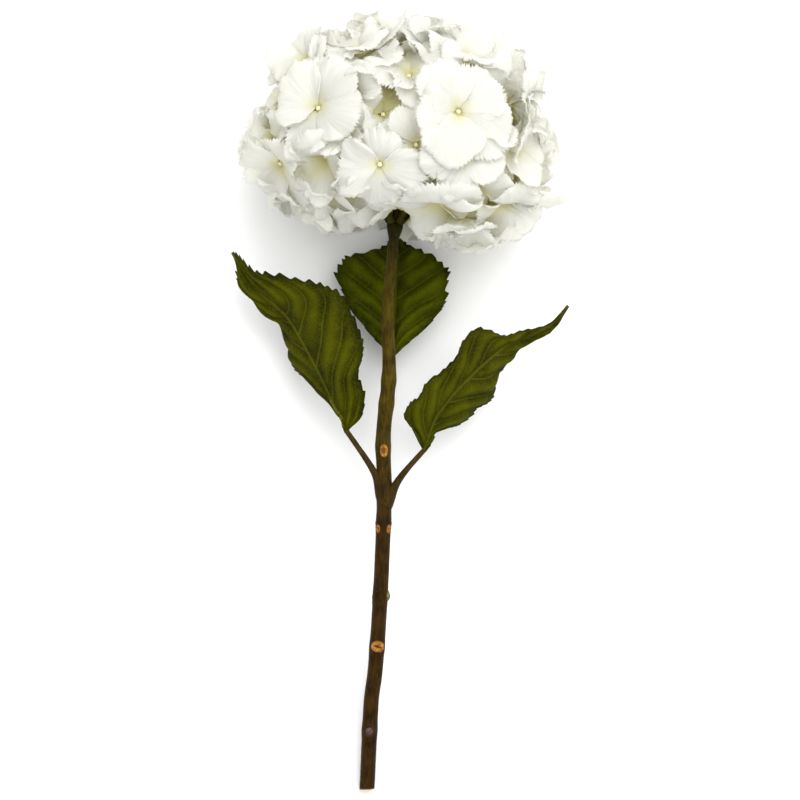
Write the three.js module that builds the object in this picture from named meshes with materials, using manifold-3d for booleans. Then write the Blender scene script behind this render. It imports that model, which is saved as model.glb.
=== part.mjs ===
// A cut mophead hydrangea laid on a table: a woody stem with three leaves and a round head of florets.
// Millimetres. The plant is modelled upright in its own frame (x to the right, y up the stem from the knob
// where the head branches, z towards the front) and a group then lays it on its back, so that +Z is up and
// the stem runs along +Y.
import * as THREE from "three";
import { mergeVertices } from "three/addons/utils/BufferGeometryUtils.js";
import Module from "manifold-3d";

const wasm = await Module();
wasm.setup();

// ---------------------------------------------------------------- driving dimensions
const touchGap = 0.3; // between pieces that touch

const stem = {
  length: 340, // cut end to the knob
  bottomRadius: 4.5,
  topRadius: 3.1,
  taperFrom: -129, // height below which the stem hardly tapers
  knobRadius: 5.8, // where the branches of the head leave
  swelling: 0.45, // extra radius at each node
  nodes: [-304, -254, -223, -182, -162, -134], // heights of the nodes
  nodeSpread: 3.5, // how far a node's swelling reaches along the stem
  // the shoot's bow: height, then how far it stands to the right and to the front
  bow: [
    [-460, -17.5, -1.0],
    [-340, -12.6, 0.0],
    [-289, -10.2, 0.6],
    [-265, -7.4, 1.0],
    [-211, -4.0, 1.0],
    [-163, -2.2, 0.4],
    [-129, -2.8, -0.3],
    [-91, 0.6, -0.4],
    [-50, 0.0, -0.3],
    [0, 4.2, 0.0],
  ],
};

const head = {
  halfWidth: 92,
  halfHeight: 70,
  halfDepth: 75,
  knobDepth: 15, // of the knob inside the head's lower end
  offset: 1.6, // of the middle of the head, to the side of the knob
  sink: 11.1, // how far the table presses the head's back in
  roll: THREE.MathUtils.degToRad(-9), // the right side hangs lower
  florets: 45,
  stemRoom: 1.25, // how far the florets keep from the stem, against how far from each other
  pressedEdge: 5, // how softly the underside is pressed flat by the table
};

const floret = {
  sepals: 4,
  radius: 25, // to the tips of its sepals, before its neighbours hem it in
  notch: 0.4, // depth of the cleft between two sepals, as a share of the radius
  cup: 7, // how deep its eye lies under the tips
  thickness: 0.8,
  pedicelRadius: 0.85,
  step: 2.4, // every third floret lies this much deeper
};

// The large florets of the front, as degrees to the right of the middle and degrees up.
const frontFlorets = [
  [-34, 2], [-5, -18], [21, 10], [28, -15], [29, -43], [68, -29], [61, -1], [49, 27], [1, 30],
  [-22, 32], [-54, 23], [-64, -3], [-69, -30], [-35, -27], [-20, -47], [36, 48], [-8, 5],
];

const branches = {
  around: 5, // side branches, besides the one up the middle
  lean: THREE.MathUtils.degToRad(74), // of the side branches' ends, seen from the middle of the head
  reach: 0.42, // share of the head's radius at which a branch ends
  baseRadius: 2.2,
  tipRadius: 1.8,
  droop: 13, // how far the side branches bow outwards and down
  hubRadius: 4.8, // the knob at a branch's end, where the pedicels leave
};

const backLeafLength = 75;

const blade = { thickness: 0.8, midrib: 1.6, midribWidth: 0.1, tipWidth: 0.7 };

// Each curve runs from the blade's base to its tip: share of the length, share of the width, share of the sag.
const leaves = [
  {
    name: "left",
    node: -170, // height on the stem
    length: 129,
    width: 46,
    sag: 34,
    heading: 122.9, // degrees from +x, seen from the front
    petiole: { end: [-25.2, -124, 2], baseRadius: 3.1, tipRadius: 1.4, bow: [-9.6, -147, 2.5] },
    midrib: [
      [0, 0, 0], [0.15, 0.05, -0.02], [0.37, 0.12, -0.12], [0.57, 0.15, -0.27], [0.66, 0.11, -0.35],
      [0.8, 0, -0.52], [1, 0, -0.9],
    ],
    left: [
      [0.0, -0.03, 0], [0.04, 0, -0.06], [0.14, 0.05, -0.22], [0.22, -0.02, -0.38], [0.32, -0.1, -0.5],
      [0.39, -0.12, -0.58], [0.46, -0.05, -0.62], [0.58, 0.04, -0.66], [0.68, -0.08, -0.72], [0.78, -0.1, -0.77],
      [0.86, -0.11, -0.8], [0.93, -0.03, -0.83], [1, -0.01, -0.92],
    ],
    right: [
      [0.0, 0.03, 0], [0.02, 0.25, -0.03], [0.1, 0.44, 0.0], [0.19, 0.5, 0.14], [0.25, 0.69, 0.2],
      [0.33, 0.82, 0.15], [0.43, 0.86, 0.08], [0.53, 0.89, 0.0], [0.61, 0.78, -0.12], [0.69, 0.59, -0.25],
      [0.76, 0.4, -0.36], [0.85, 0.1, -0.5], [0.95, 0.06, -0.78], [1, 0.01, -0.88],
    ],
  },
  {
    name: "right",
    node: -174,
    length: 124,
    width: 46,
    sag: 34,
    heading: 44.9,
    petiole: { end: [22.0, -135.5, 3], baseRadius: 3.0, tipRadius: 1.4, bow: [7.8, -152, 2.5] },
    midrib: [
      [0, 0, 0], [0.06, -0.07, 0], [0.14, -0.18, 0.02], [0.26, -0.26, 0.02], [0.38, -0.27, 0.0],
      [0.52, -0.22, -0.1], [0.64, -0.2, -0.22], [0.75, -0.08, -0.38], [0.84, 0.01, -0.54], [0.93, 0.01, -0.78],
      [1, 0, -1],
    ],
    left: [
      [0.0, -0.03, 0], [0.045, -0.49, 0.05], [0.12, -0.57, 0.12], [0.23, -0.6, 0.16], [0.33, -0.57, 0.12],
      [0.42, -0.57, 0.08], [0.51, -0.66, 0.04], [0.59, -0.64, -0.02], [0.64, -0.5, -0.08], [0.67, -0.32, -0.16],
      [0.73, -0.25, -0.26], [0.8, -0.09, -0.42], [0.87, 0.0, -0.57], [0.94, -0.01, -0.77], [1, -0.01, -0.98],
    ],
    right: [
      [0.0, 0.03, 0], [0.05, 0.0, -0.03], [0.11, -0.04, -0.07], [0.2, 0.06, -0.2], [0.29, 0.09, -0.3],
      [0.38, 0.14, -0.38], [0.45, 0.08, -0.42], [0.52, -0.02, -0.42], [0.63, -0.1, -0.42], [0.72, -0.03, -0.46],
      [0.8, 0.04, -0.53], [0.87, 0.06, -0.64], [0.93, 0.03, -0.8], [1, 0.01, -1.02],
    ],
  },
  {
    name: "back",
    node: -134,
    length: backLeafLength,
    width: 66,
    sag: 36,
    heading: 87.5,
    petiole: { end: [3, -3 - backLeafLength, -16], baseRadius: 2.4, tipRadius: 1.5, bow: [-0.5, -110, -13] },
    midrib: [
      [0, 0, 0], [0.3, 0.0, -0.32], [0.6, 0.0, -0.62], [0.85, 0.0, -0.86], [1, 0, -1],
    ],
    left: [
      [0.0, -0.02, 0], [0.1, -0.14, -0.06], [0.24, -0.29, -0.15], [0.37, -0.42, -0.25], [0.5, -0.47, -0.38],
      [0.63, -0.54, -0.52], [0.74, -0.48, -0.64], [0.8, -0.36, -0.72], [0.84, -0.18, -0.82], [0.92, -0.07, -0.9],
      [1, -0.01, -0.98],
    ],
    right: [
      [0.0, 0.02, 0], [0.11, 0.14, -0.06], [0.26, 0.31, -0.14], [0.37, 0.4, -0.22], [0.52, 0.45, -0.36],
      [0.67, 0.46, -0.52], [0.76, 0.38, -0.64], [0.83, 0.26, -0.76], [0.91, 0.09, -0.88], [1, 0.01, -1.0],
    ],
  },
];

// Buds in the leaf axils: height on the stem, direction round it (0 is to the right, 90 to the front).
const buds = [
  { name: "bud_side", height: -223, facing: 8, length: 7.5, width: 4.6, proud: 1.7 },
  { name: "bud_front", height: -304, facing: 92, length: 6.6, width: 5.2, proud: 1.1 },
];

const finish = {
  bark: new THREE.MeshStandardMaterial({ color: 0x3c2b0e, roughness: 0.62, metalness: 0 }),
  petiole: new THREE.MeshStandardMaterial({ color: 0x4a3419, roughness: 0.6, metalness: 0 }),
  leaf: new THREE.MeshStandardMaterial({ color: 0x3f4708, roughness: 0.55, metalness: 0 }),
  bud: new THREE.MeshStandardMaterial({ color: 0x4a5a1e, roughness: 0.5, metalness: 0 }),
  branch: new THREE.MeshStandardMaterial({ color: 0x55561a, roughness: 0.6, metalness: 0 }),
  sepal: new THREE.MeshStandardMaterial({ color: 0xf6f6ef, roughness: 0.65, metalness: 0 }),
};

// ---------------------------------------------------------------- helpers
const up = new THREE.Vector3(0, 1, 0);
const front = new THREE.Vector3(0, 0, 1);

// Moves every vertex of a three.js geometry to where place(vertex) says.
function reshape(geometry, place) {
  const at = geometry.getAttribute("position");
  const v = new THREE.Vector3();
  for (let i = 0; i < at.count; i++) {
    place(v.fromBufferAttribute(at, i));
    at.setXYZ(i, v.x, v.y, v.z);
  }
  return geometry;
}

// A closed geometry as a manifold-3d solid, turned right side out if its mapping reversed it.
function solidOf(geometry) {
  const bare = geometry.index ? geometry.toNonIndexed() : geometry.clone();
  bare.deleteAttribute("normal");
  bare.deleteAttribute("uv");
  const merged = mergeVertices(bare, 1e-4);
  const corners = merged.index.array;
  const kept = [];
  for (let i = 0; i < corners.length; i += 3) {
    const [a, b, c] = [corners[i], corners[i + 1], corners[i + 2]];
    if (a !== b && b !== c && a !== c) kept.push(a, b, c);
  }
  const make = (triangles) =>
    new wasm.Manifold(
      new wasm.Mesh({
        numProp: 3,
        vertProperties: merged.getAttribute("position").array,
        triVerts: new Uint32Array(triangles),
      }),
    );
  const solid = make(kept);
  if (solid.volume() > 0) return solid;
  for (let i = 0; i < kept.length; i += 3) [kept[i + 1], kept[i + 2]] = [kept[i + 2], kept[i + 1]];
  return make(kept);
}

// A solid's largest body as a three.js geometry.
function geometryOf(solid) {
  const body = solid.decompose().sort((a, b) => b.volume() - a.volume())[0];
  const mesh = body.getMesh();
  const geometry = new THREE.BufferGeometry();
  geometry.setAttribute("position", new THREE.BufferAttribute(new Float32Array(mesh.vertProperties), 3));
  geometry.setIndex(new THREE.BufferAttribute(new Uint32Array(mesh.triVerts), 1));
  geometry.computeVertexNormals();
  return geometry;
}

function named(name, solid, material) {
  const mesh = new THREE.Mesh(geometryOf(solid), material);
  mesh.name = name;
  return mesh;
}

// A closed tube along a curve whose radius changes: a cylinder bent along it. t runs from 0 to 1.
function taperedTube(curve, radiusAt, sides, stations) {
  const rings = Array.from({ length: stations + 1 }, (_, i) => {
    const t = i / stations;
    const tangent = curve.getTangentAt(t);
    const side = new THREE.Vector3().crossVectors(tangent, Math.abs(tangent.z) < 0.8 ? front : up).normalize();
    const other = new THREE.Vector3().crossVectors(side, tangent);
    return { centre: curve.getPointAt(t), side, other, radius: radiusAt(t) };
  });
  const tube = new THREE.CylinderGeometry(1, 1, 1, sides, stations);
  return reshape(tube, (v) => {
    const ring = rings[Math.round((v.y + 0.5) * stations)];
    const [across, along] = [v.x * ring.radius, v.z * ring.radius];
    v.copy(ring.centre).addScaledVector(ring.side, across).addScaledVector(ring.other, along);
  });
}

// A closed thin sheet: a flat box whose front face is laid on surfaceAt(t, s), with s from -1 to 1.
function thinSheet(surfaceAt, thicknessAt, rows, columns) {
  const step = 1e-3;
  const normalAt = (t, s) => {
    const along = surfaceAt(Math.min(t + step, 1), s).sub(surfaceAt(Math.max(t - step, 0), s));
    const across = surfaceAt(t, s + step).sub(surfaceAt(t, s - step));
    return across.cross(along).normalize();
  };
  return reshape(new THREE.BoxGeometry(2, 1, 1, columns, rows, 1), (v) => {
    const [s, t, back] = [v.x, v.y + 0.5, v.z < 0];
    const normal = normalAt(t, s);
    v.copy(surfaceAt(t, s));
    if (back) v.addScaledVector(normal, -thicknessAt(t, s));
  });
}

const curveThrough = (points) => new THREE.CatmullRomCurve3(points, false, "centripetal");

// A repeatable number from 0 to 1 for the i-th of anything.
const scatter = (i, salt) => {
  const n = Math.sin(i * 12.9898 + salt * 78.233) * 43758.5453;
  return n - Math.floor(n);
};

// ---------------------------------------------------------------- stem
const shoot = curveThrough(stem.bow.map(([height, right, ahead]) => new THREE.Vector3(right, height, ahead)));

// The shoot's centre at a height, by halving the stretch of it that the height lies in.
function stemCentre(height) {
  let [low, high] = [0, 1];
  for (let i = 0; i < 30; i++) {
    const middle = (low + high) / 2;
    if (shoot.getPoint(middle).y < height) low = middle;
    else high = middle;
  }
  return shoot.getPoint(low);
}

// The part of the shoot that was cut.
const cutSteps = 24;
const stemCurve = curveThrough(
  Array.from({ length: cutSteps + 1 }, (_, i) => stemCentre(-stem.length * (1 - i / cutSteps))),
);

// The stem's radius at a height, with a swelling at each node.
function stemRadius(height) {
  const taper = THREE.MathUtils.smoothstep(height, stem.taperFrom, 0);
  const swell = stem.nodes.reduce((sum, node) => sum + Math.exp(-(((height - node) / stem.nodeSpread) ** 2)), 0);
  return THREE.MathUtils.lerp(stem.bottomRadius, stem.topRadius, taper) + stem.swelling * Math.min(swell, 1);
}

// The stem with its knob, or the room it takes with a gap round it.
function stemSolid(gap) {
  const tube = taperedTube(stemCurve, (t) => stemRadius(stemCurve.getPointAt(t).y) + gap, 12, 44);
  const knob = new THREE.SphereGeometry(stem.knobRadius + gap, 12, 8);
  const top = stemCurve.getPointAt(1);
  knob.translate(top.x, top.y, top.z);
  return solidOf(tube).add(solidOf(knob));
}

const stemRoom = stemSolid(touchGap);

// ---------------------------------------------------------------- leaves
function petioleCurve(leaf) {
  return curveThrough([
    stemCentre(leaf.node),
    new THREE.Vector3(...leaf.petiole.bow),
    new THREE.Vector3(...leaf.petiole.end),
  ]);
}

// A leaf's petiole, or the room it takes with a gap round it.
function petioleSolid(leaf, gap) {
  const { baseRadius, tipRadius } = leaf.petiole;
  const radiusAt = (t) => THREE.MathUtils.lerp(baseRadius, tipRadius, t) + gap;
  return solidOf(taperedTube(petioleCurve(leaf), radiusAt, 8, 9)).subtract(stemRoom);
}

// A leaf's blade: midrib and margins are curves, and the surface runs straight between them.
function bladeSolid(leaf) {
  const heading = THREE.MathUtils.degToRad(leaf.heading);
  const along = new THREE.Vector3(Math.cos(heading), Math.sin(heading), 0);
  const across = new THREE.Vector3(Math.sin(heading), -Math.cos(heading), 0);
  const base = new THREE.Vector3(...leaf.petiole.end).addScaledVector(petioleCurve(leaf).getTangentAt(1), touchGap);
  const place = ([a, b, c]) =>
    base
      .clone()
      .addScaledVector(along, a * leaf.length)
      .addScaledVector(across, b * leaf.width)
      .addScaledVector(front, c * leaf.sag);
  const [midrib, left, right] = [leaf.midrib, leaf.left, leaf.right].map((c) => curveThrough(c.map(place)));
  const surfaceAt = (t, s) => {
    const centre = midrib.getPoint(t);
    const edge = (s < 0 ? left : right).getPoint(t);
    const least = across.clone().multiplyScalar((s * blade.tipWidth) / 2);
    return centre.clone().lerp(edge, Math.abs(s)).add(least);
  };
  const rib = (s) => blade.midrib * Math.exp(-((s / blade.midribWidth) ** 2));
  const thicknessAt = (t, s) => blade.thickness + rib(s) * (1 - t);
  return solidOf(thinSheet(surfaceAt, thicknessAt, 20, 6)).subtract(petioleSolid(leaf, touchGap));
}

// ---------------------------------------------------------------- buds
function budSolid(bud) {
  const facing = THREE.MathUtils.degToRad(bud.facing);
  const outward = new THREE.Vector3(Math.cos(facing), 0, Math.sin(facing));
  const centre = stemCentre(bud.height);
  const reach = stemRadius(bud.height) + bud.proud - bud.width / 2;
  const egg = new THREE.SphereGeometry(1, 10, 8);
  egg.scale(bud.width / 2, bud.length / 2, bud.width / 2);
  centre.addScaledVector(outward, reach);
  egg.translate(centre.x, centre.y, centre.z);
  return solidOf(egg).subtract(stemRoom);
}

// ---------------------------------------------------------------- head
const knobCentre = stemCurve.getPointAt(1);
const headRise = head.halfHeight - head.knobDepth;
const headCentre = knobCentre.clone().add(new THREE.Vector3(head.offset, headRise, 0));
const rolled = new THREE.Quaternion().setFromAxisAngle(front, head.roll);

// A point of the unit ball as a point of the head.
function headPoint(unit) {
  const scaled = new THREE.Vector3(unit.x * head.halfWidth, unit.y * head.halfHeight, unit.z * head.halfDepth);
  return scaled.applyQuaternion(rolled).add(headCentre);
}

// The flower rests on its cut end and on the pressed back of its head, which sets the stem's slope.
const headLift = head.halfDepth - head.sink - stem.bottomRadius;
const restTilt = Math.asin(headLift / (stem.length + headRise));
const tableNormal = new THREE.Vector3(0, Math.sin(restTilt), Math.cos(restTilt));
const cutEnd = stemCurve.getPointAt(0);
const tableHeight = (p) => p.dot(tableNormal) - cutEnd.dot(tableNormal) + stem.bottomRadius;

// Presses what would reach below the table up against it, without folding anything over.
function press(p) {
  const height = tableHeight(p);
  const pressed = head.pressedEdge * Math.log1p(Math.exp(height / head.pressedEdge));
  return height > 8 * head.pressedEdge ? p : p.addScaledVector(tableNormal, pressed - height);
}

// A direction in the head: turn degrees to the right of the front, rise degrees up.
function direction([turn, rise]) {
  const polar = THREE.MathUtils.degToRad(90 - rise);
  return new THREE.Vector3().setFromSphericalCoords(1, polar, THREE.MathUtils.degToRad(turn));
}

// Directions spread evenly over the ball by the golden angle.
const goldenAngle = Math.PI * (3 - Math.sqrt(5));
const spread = Array.from({ length: head.florets * 10 }, (_, i) => {
  const rise = 1 - (2 * i + 1) / (head.florets * 10);
  const out = Math.sqrt(1 - rise * rise);
  return new THREE.Vector3(out * Math.cos(i * goldenAngle), rise, out * Math.sin(i * goldenAngle));
});

// The florets of the front, then each further one where there is most room, clear of the stem.
const directions = frontFlorets.map(direction);
const downStem = new THREE.Vector3(0, -1, 0);
const roomAt = (d) =>
  Math.min(d.angleTo(downStem) / head.stemRoom, ...directions.map((other) => d.angleTo(other)));
while (directions.length < head.florets) {
  directions.push(spread.reduce((best, d) => (roomAt(d) > roomAt(best) ? d : best)));
}

const meanRadius = (head.halfWidth + head.halfHeight + head.halfDepth) / 3;

const hubs = [new THREE.Vector3(0, 1, 0)];
for (let k = 0; k < branches.around; k++) {
  const turn = ((k + 0.75) / branches.around) * 2 * Math.PI;
  const [out, rise] = [Math.sin(branches.lean), Math.cos(branches.lean)];
  hubs.push(new THREE.Vector3(out * Math.cos(turn), rise, out * Math.sin(turn)));
}
const hubPoint = (k) => headPoint(hubs[k].clone().multiplyScalar(branches.reach));

// One branch of the head, from the knob to its hub, or the room it takes with a gap round it.
function branchSolid(k, gap) {
  const { baseRadius, tipRadius, hubRadius, droop } = branches;
  const end = hubPoint(k);
  const outward = new THREE.Vector3(hubs[k].x, 0, hubs[k].z);
  const start = knobCentre.clone().addScaledVector(outward, baseRadius);
  const middle = start.clone().lerp(end, 0.5);
  middle.addScaledVector(up, -droop * outward.length());
  const curve = new THREE.QuadraticBezierCurve3(start, middle, end);
  const tube = taperedTube(curve, (t) => THREE.MathUtils.lerp(baseRadius, tipRadius, t) + gap, 8, 6);
  const hub = new THREE.SphereGeometry(hubRadius + gap, 10, 6);
  hub.translate(end.x, end.y, end.z);
  return solidOf(tube).add(solidOf(hub));
}
const branchRooms = hubs.map((_, k) => branchSolid(k, touchGap));

// How far a floret may spread towards an azimuth before it meets its neighbours' share of the head.
function roomTowards(own, azimuth) {
  const limits = directions
    .filter((other) => other !== own && azimuth.dot(other) > 0)
    .map((other) => Math.atan((1 - own.dot(other)) / azimuth.dot(other)));
  return Math.min(...limits) - touchGap / meanRadius;
}

// One floret: a shallow cup of four sepals on a thin pedicel that runs in to its hub.
function floretSolid(i) {
  const own = directions[i];
  const side = new THREE.Vector3().crossVectors(own, Math.abs(own.y) < 0.9 ? up : front).normalize();
  const other = new THREE.Vector3().crossVectors(own, side);
  const spin = scatter(i, 1) * 2 * Math.PI;
  const depth = (i % 3 === 0 ? floret.step : 0) / meanRadius;
  const eye = 1 - floret.cup / meanRadius - depth;
  const thickness = floret.thickness / meanRadius;

  const profile = [[0, 0], [0.5, 0], [1, 0], [1, -1], [0.5, -1], [0, -1]].map((p) => new THREE.Vector2(...p));
  const cup = new THREE.LatheGeometry(profile, floret.sepals * 4);
  reshape(cup, (v) => {
    const share = Math.hypot(v.x, v.z);
    const turn = Math.atan2(v.z, v.x);
    const azimuth = side.clone().multiplyScalar(Math.cos(turn)).addScaledVector(other, Math.sin(turn));
    const cleft = floret.notch * (1 - Math.abs(Math.cos((floret.sepals / 2) * (turn - spin))));
    const wanted = (floret.radius / meanRadius) * (1 - cleft);
    const angle = share * Math.min(wanted, roomTowards(own, azimuth));
    const reach = eye + (1 - eye - depth) * share * share + v.y * thickness;
    const unit = own.clone().multiplyScalar(Math.cos(angle)).addScaledVector(azimuth, Math.sin(angle));
    v.copy(press(headPoint(unit.multiplyScalar(reach))));
  });

  const hub = hubs.reduce((best, h, k) => (h.dot(own) > hubs[best].dot(own) ? k : best), 0);
  const top = press(headPoint(own.clone().multiplyScalar(eye - thickness / 2)));
  const stalk = taperedTube(new THREE.LineCurve3(hubPoint(hub), top), () => floret.pedicelRadius, 6, 1);
  return solidOf(cup).add(solidOf(stalk).subtract(branchRooms[hub]));
}

// ---------------------------------------------------------------- the plant
const plant = new THREE.Group();
plant.add(named("stem", stemSolid(0), finish.bark));
for (const leaf of leaves) {
  plant.add(named(`petiole_${leaf.name}`, petioleSolid(leaf, 0), finish.petiole));
  plant.add(named(`leaf_${leaf.name}`, bladeSolid(leaf), finish.leaf));
}
for (const bud of buds) plant.add(named(bud.name, budSolid(bud), finish.bud));
hubs.forEach((_, k) =>
  plant.add(named(`branch_${k + 1}`, branchSolid(k, 0).subtract(stemRoom), finish.branch)),
);
directions.forEach((_, i) =>
  plant.add(named(`floret_${String(i + 1).padStart(2, "0")}`, floretSolid(i), finish.sepal)),
);

// Laid on its back, with the origin on the table under the middle of the whole flower.
plant.rotation.x = restTilt;
const hydrangea = new THREE.Group();
hydrangea.add(plant);
const box = new THREE.Box3().setFromObject(hydrangea, true);
plant.position.set(-(box.min.x + box.max.x) / 2, -(box.min.y + box.max.y) / 2, -box.min.z);

export default hydrangea;
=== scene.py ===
import math
import bpy
import numpy as np
from mathutils import Matrix


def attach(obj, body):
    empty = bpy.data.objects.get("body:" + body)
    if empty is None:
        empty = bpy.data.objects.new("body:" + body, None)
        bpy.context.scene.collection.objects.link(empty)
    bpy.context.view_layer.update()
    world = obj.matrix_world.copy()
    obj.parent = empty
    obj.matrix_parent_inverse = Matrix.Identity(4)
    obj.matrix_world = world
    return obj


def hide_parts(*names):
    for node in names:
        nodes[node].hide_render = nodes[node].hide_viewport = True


# A cut mophead hydrangea lying on its back on a pale table.
# The plant has a frame of its own, in millimetres: x to the right, y up the stem, z out of its front.
# onTable() lays its points where the frame's own pieces lie, in metres.

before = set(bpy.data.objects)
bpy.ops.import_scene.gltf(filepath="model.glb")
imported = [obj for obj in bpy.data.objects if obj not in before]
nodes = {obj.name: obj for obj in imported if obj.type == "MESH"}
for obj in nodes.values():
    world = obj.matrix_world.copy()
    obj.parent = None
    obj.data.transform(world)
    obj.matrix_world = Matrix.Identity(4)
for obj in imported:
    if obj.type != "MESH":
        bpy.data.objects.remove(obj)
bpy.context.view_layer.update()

plant = {
    "restTilt": 8.65,  # slope of the stem on the table, degrees
    "cutEnd": (-12.6, 0.0, 0.0),  # the middle of the cut
    "knob": (4.2, 340.0, 0.0),  # where the head branches
    "headMiddle": (5.8, 395.0, 0.0),
    "headHalf": (92.0, 70.0, 75.0),  # half its width, height and depth
    "headRoll": -9.0,  # degrees, to its right side
}


def nodePoints(name):
    # the corners of a frame piece, one row each, in metres
    mesh = nodes[name].data
    flat = np.empty(len(mesh.vertices) * 3)
    mesh.vertices.foreach_get("co", flat)
    return flat.reshape(-1, 3)


tilt = math.radians(plant["restTilt"])
# rows are the plant's x, y and z directions as they lie on the table
plantAxes = np.array([
    [1, 0, 0],
    [0, math.cos(tilt), math.sin(tilt)],
    [0, -math.sin(tilt), math.cos(tilt)],
])
stemCorners = nodePoints("stem") @ plantAxes.T
cutEndFound = stemCorners[stemCorners[:, 1] < stemCorners[:, 1].min() + 0.0011].mean(0)
plantShift = cutEndFound - np.array(plant["cutEnd"]) / 1000


def onTable(points):
    # plant millimetres to table metres: scale, shift, then turn by the rest tilt
    return (np.asarray(points) / 1000 + plantShift) @ plantAxes


def offTable(points):
    # table metres back to plant millimetres
    return (np.asarray(points) @ plantAxes.T - plantShift) * 1000


# mesh helpers

def sheetFaces(rows, cols):
    # a closed sheet: the front grid, the back grid turned round, and the rim that joins them
    grid = np.arange(rows * cols).reshape(rows, cols)
    front = np.stack([grid[:-1, :-1], grid[:-1, 1:], grid[1:, 1:], grid[1:, :-1]], -1).reshape(-1, 4)
    rim = np.concatenate([grid[0, :-1], grid[:-1, -1], grid[-1, :0:-1], grid[:0:-1, 0]])
    following = np.roll(rim, -1)
    side = np.stack([following, rim, rim + grid.size, following + grid.size], -1)
    return np.concatenate([front, front[:, ::-1] + grid.size, side])


def tubeFaces(rings, sides):
    # a closed tube: quads round each pair of rings, and a fan of triangles to a point at each end
    grid = np.arange(rings * sides).reshape(rings, sides)
    beside = np.roll(grid, -1, axis=1)
    quads = np.stack([grid[:-1], beside[:-1], beside[1:], grid[1:]], -1).reshape(-1, 4)
    low, high = grid.size, grid.size + 1
    start = np.stack([beside[0], grid[0], np.full(sides, low)], -1)
    end = np.stack([grid[-1], beside[-1], np.full(sides, high)], -1)
    return quads, np.concatenate([start, end])


def unit(vectors):
    return vectors / np.maximum(np.linalg.norm(vectors, axis=-1, keepdims=True), 1e-9)


def tubeFrames(line):
    # tangent, side and other direction at each point of a line: side is the front's direction, made square
    tangent = unit(np.gradient(line, axis=0))
    front = np.array([0.0, 0.0, 1.0]) if abs(tangent[:, 2]).max() < 0.85 else np.array([0.0, 1.0, 0.0])
    side = unit(np.cross(tangent, front))
    return tangent, side, np.cross(side, tangent)


def tubePoints(line, radius, sides):
    # centre + radius * (cos * side + sin * other); radius may be one per ring or one per ring and side
    turn = np.arange(sides) / sides * 2 * np.pi
    tangent, side, other = tubeFrames(line)
    radius = np.broadcast_to(np.reshape(radius, (len(line), -1)), (len(line), sides))
    around = np.cos(turn)[None, :, None] * side[:, None] + np.sin(turn)[None, :, None] * other[:, None]
    ring = line[:, None] + radius[..., None] * around
    return np.concatenate([ring.reshape(-1, 3), line[:1], line[-1:]])


def smoothstep(low, high, value):
    x = np.clip((value - low) / (high - low), 0, 1)
    return x * x * (3 - 2 * x)


def curveAt(points, t):
    # a smooth curve through points: cubic Hermite pieces whose slopes are half the step between neighbours
    points = np.asarray(points, float)
    ends = np.concatenate([2 * points[:1] - points[1:2], points, 2 * points[-1:] - points[-2:-1]])
    along = np.clip(t, 0, 1) * (len(points) - 1)
    low = np.minimum(along.astype(int), len(points) - 2)
    x = (along - low)[..., None]
    before, here, there, after = (ends[low + k] for k in range(4))
    return 0.5 * (2 * here + (there - before) * x + (2 * before - 5 * here + 4 * there - after) * x**2
                  + (3 * here - before - 3 * there + after) * x**3)


def bendAt(first, middle, last, t):
    # a curve that leaves first towards middle and arrives at last: three shares that add up to one
    return (1 - t) ** 2 * first + 2 * t * (1 - t) * middle + t**2 * last


def roundPoints(middle, axes, out, tall, turn, half):
    # rings of a rounded piece: middle + out * (cos * side + sin * other) + tall * axis, then its two poles
    side, other, axis = axes
    ring = middle + (out * np.cos(turn))[..., None] * side + (out * np.sin(turn))[..., None] * other
    ring = ring + tall[..., None] * axis
    poles = np.stack([middle - axis * half, middle + axis * half])
    return np.concatenate([ring.reshape(-1, 3), poles])


def turnsOf(sides):
    # the directions of a ring's points, in radians, as one row
    return (np.arange(sides) / sides * 2 * np.pi)[None]


def makePiece(name, points, quads, tris=None, slots=None, uv=None, marks=None, smooth=True):
    # one mesh object from arrays: quads and triangles, a material number per face, and named point values
    tris = np.empty((0, 3), int) if tris is None else tris
    mesh = bpy.data.meshes.new(name)
    mesh.vertices.add(len(points))
    mesh.vertices.foreach_set("co", np.asarray(points, np.float32).ravel())
    corners = np.concatenate([quads.ravel(), tris.ravel()]).astype(np.int32)
    starts = np.concatenate([np.arange(len(quads)) * 4, len(quads) * 4 + np.arange(len(tris)) * 3])
    mesh.loops.add(len(corners))
    mesh.loops.foreach_set("vertex_index", corners)
    mesh.polygons.add(len(starts))
    mesh.polygons.foreach_set("loop_start", starts.astype(np.int32))
    mesh.polygons.foreach_set("use_smooth", np.full(len(starts), smooth))
    if slots is not None:
        mesh.polygons.foreach_set("material_index", slots.astype(np.int32))
    if uv is not None:
        layer = mesh.uv_layers.new(name="surface")
        layer.data.foreach_set("uv", uv[corners].astype(np.float32).ravel())
    for key, values in (marks or {}).items():
        mesh.attributes.new(key, "FLOAT", "POINT").data.foreach_set("value", values.astype(np.float32))
    mesh.update(calc_edges=True)
    mesh.validate()
    piece = bpy.data.objects.new(name, mesh)
    bpy.context.scene.collection.objects.link(piece)
    return piece


def settle(piece, node, materials):
    for material in materials:
        piece.data.materials.append(material)
    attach(piece, "root")
    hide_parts(node)


# material helpers

def srgb(red, green, blue):
    # screen colour from 0 to 255 as the linear colour that shaders take
    value = np.array([red, green, blue]) / 255
    linear = np.where(value > 0.04045, ((value + 0.055) / 1.055) ** 2.4, value / 12.92)
    return (*linear.tolist(), 1.0)


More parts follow.
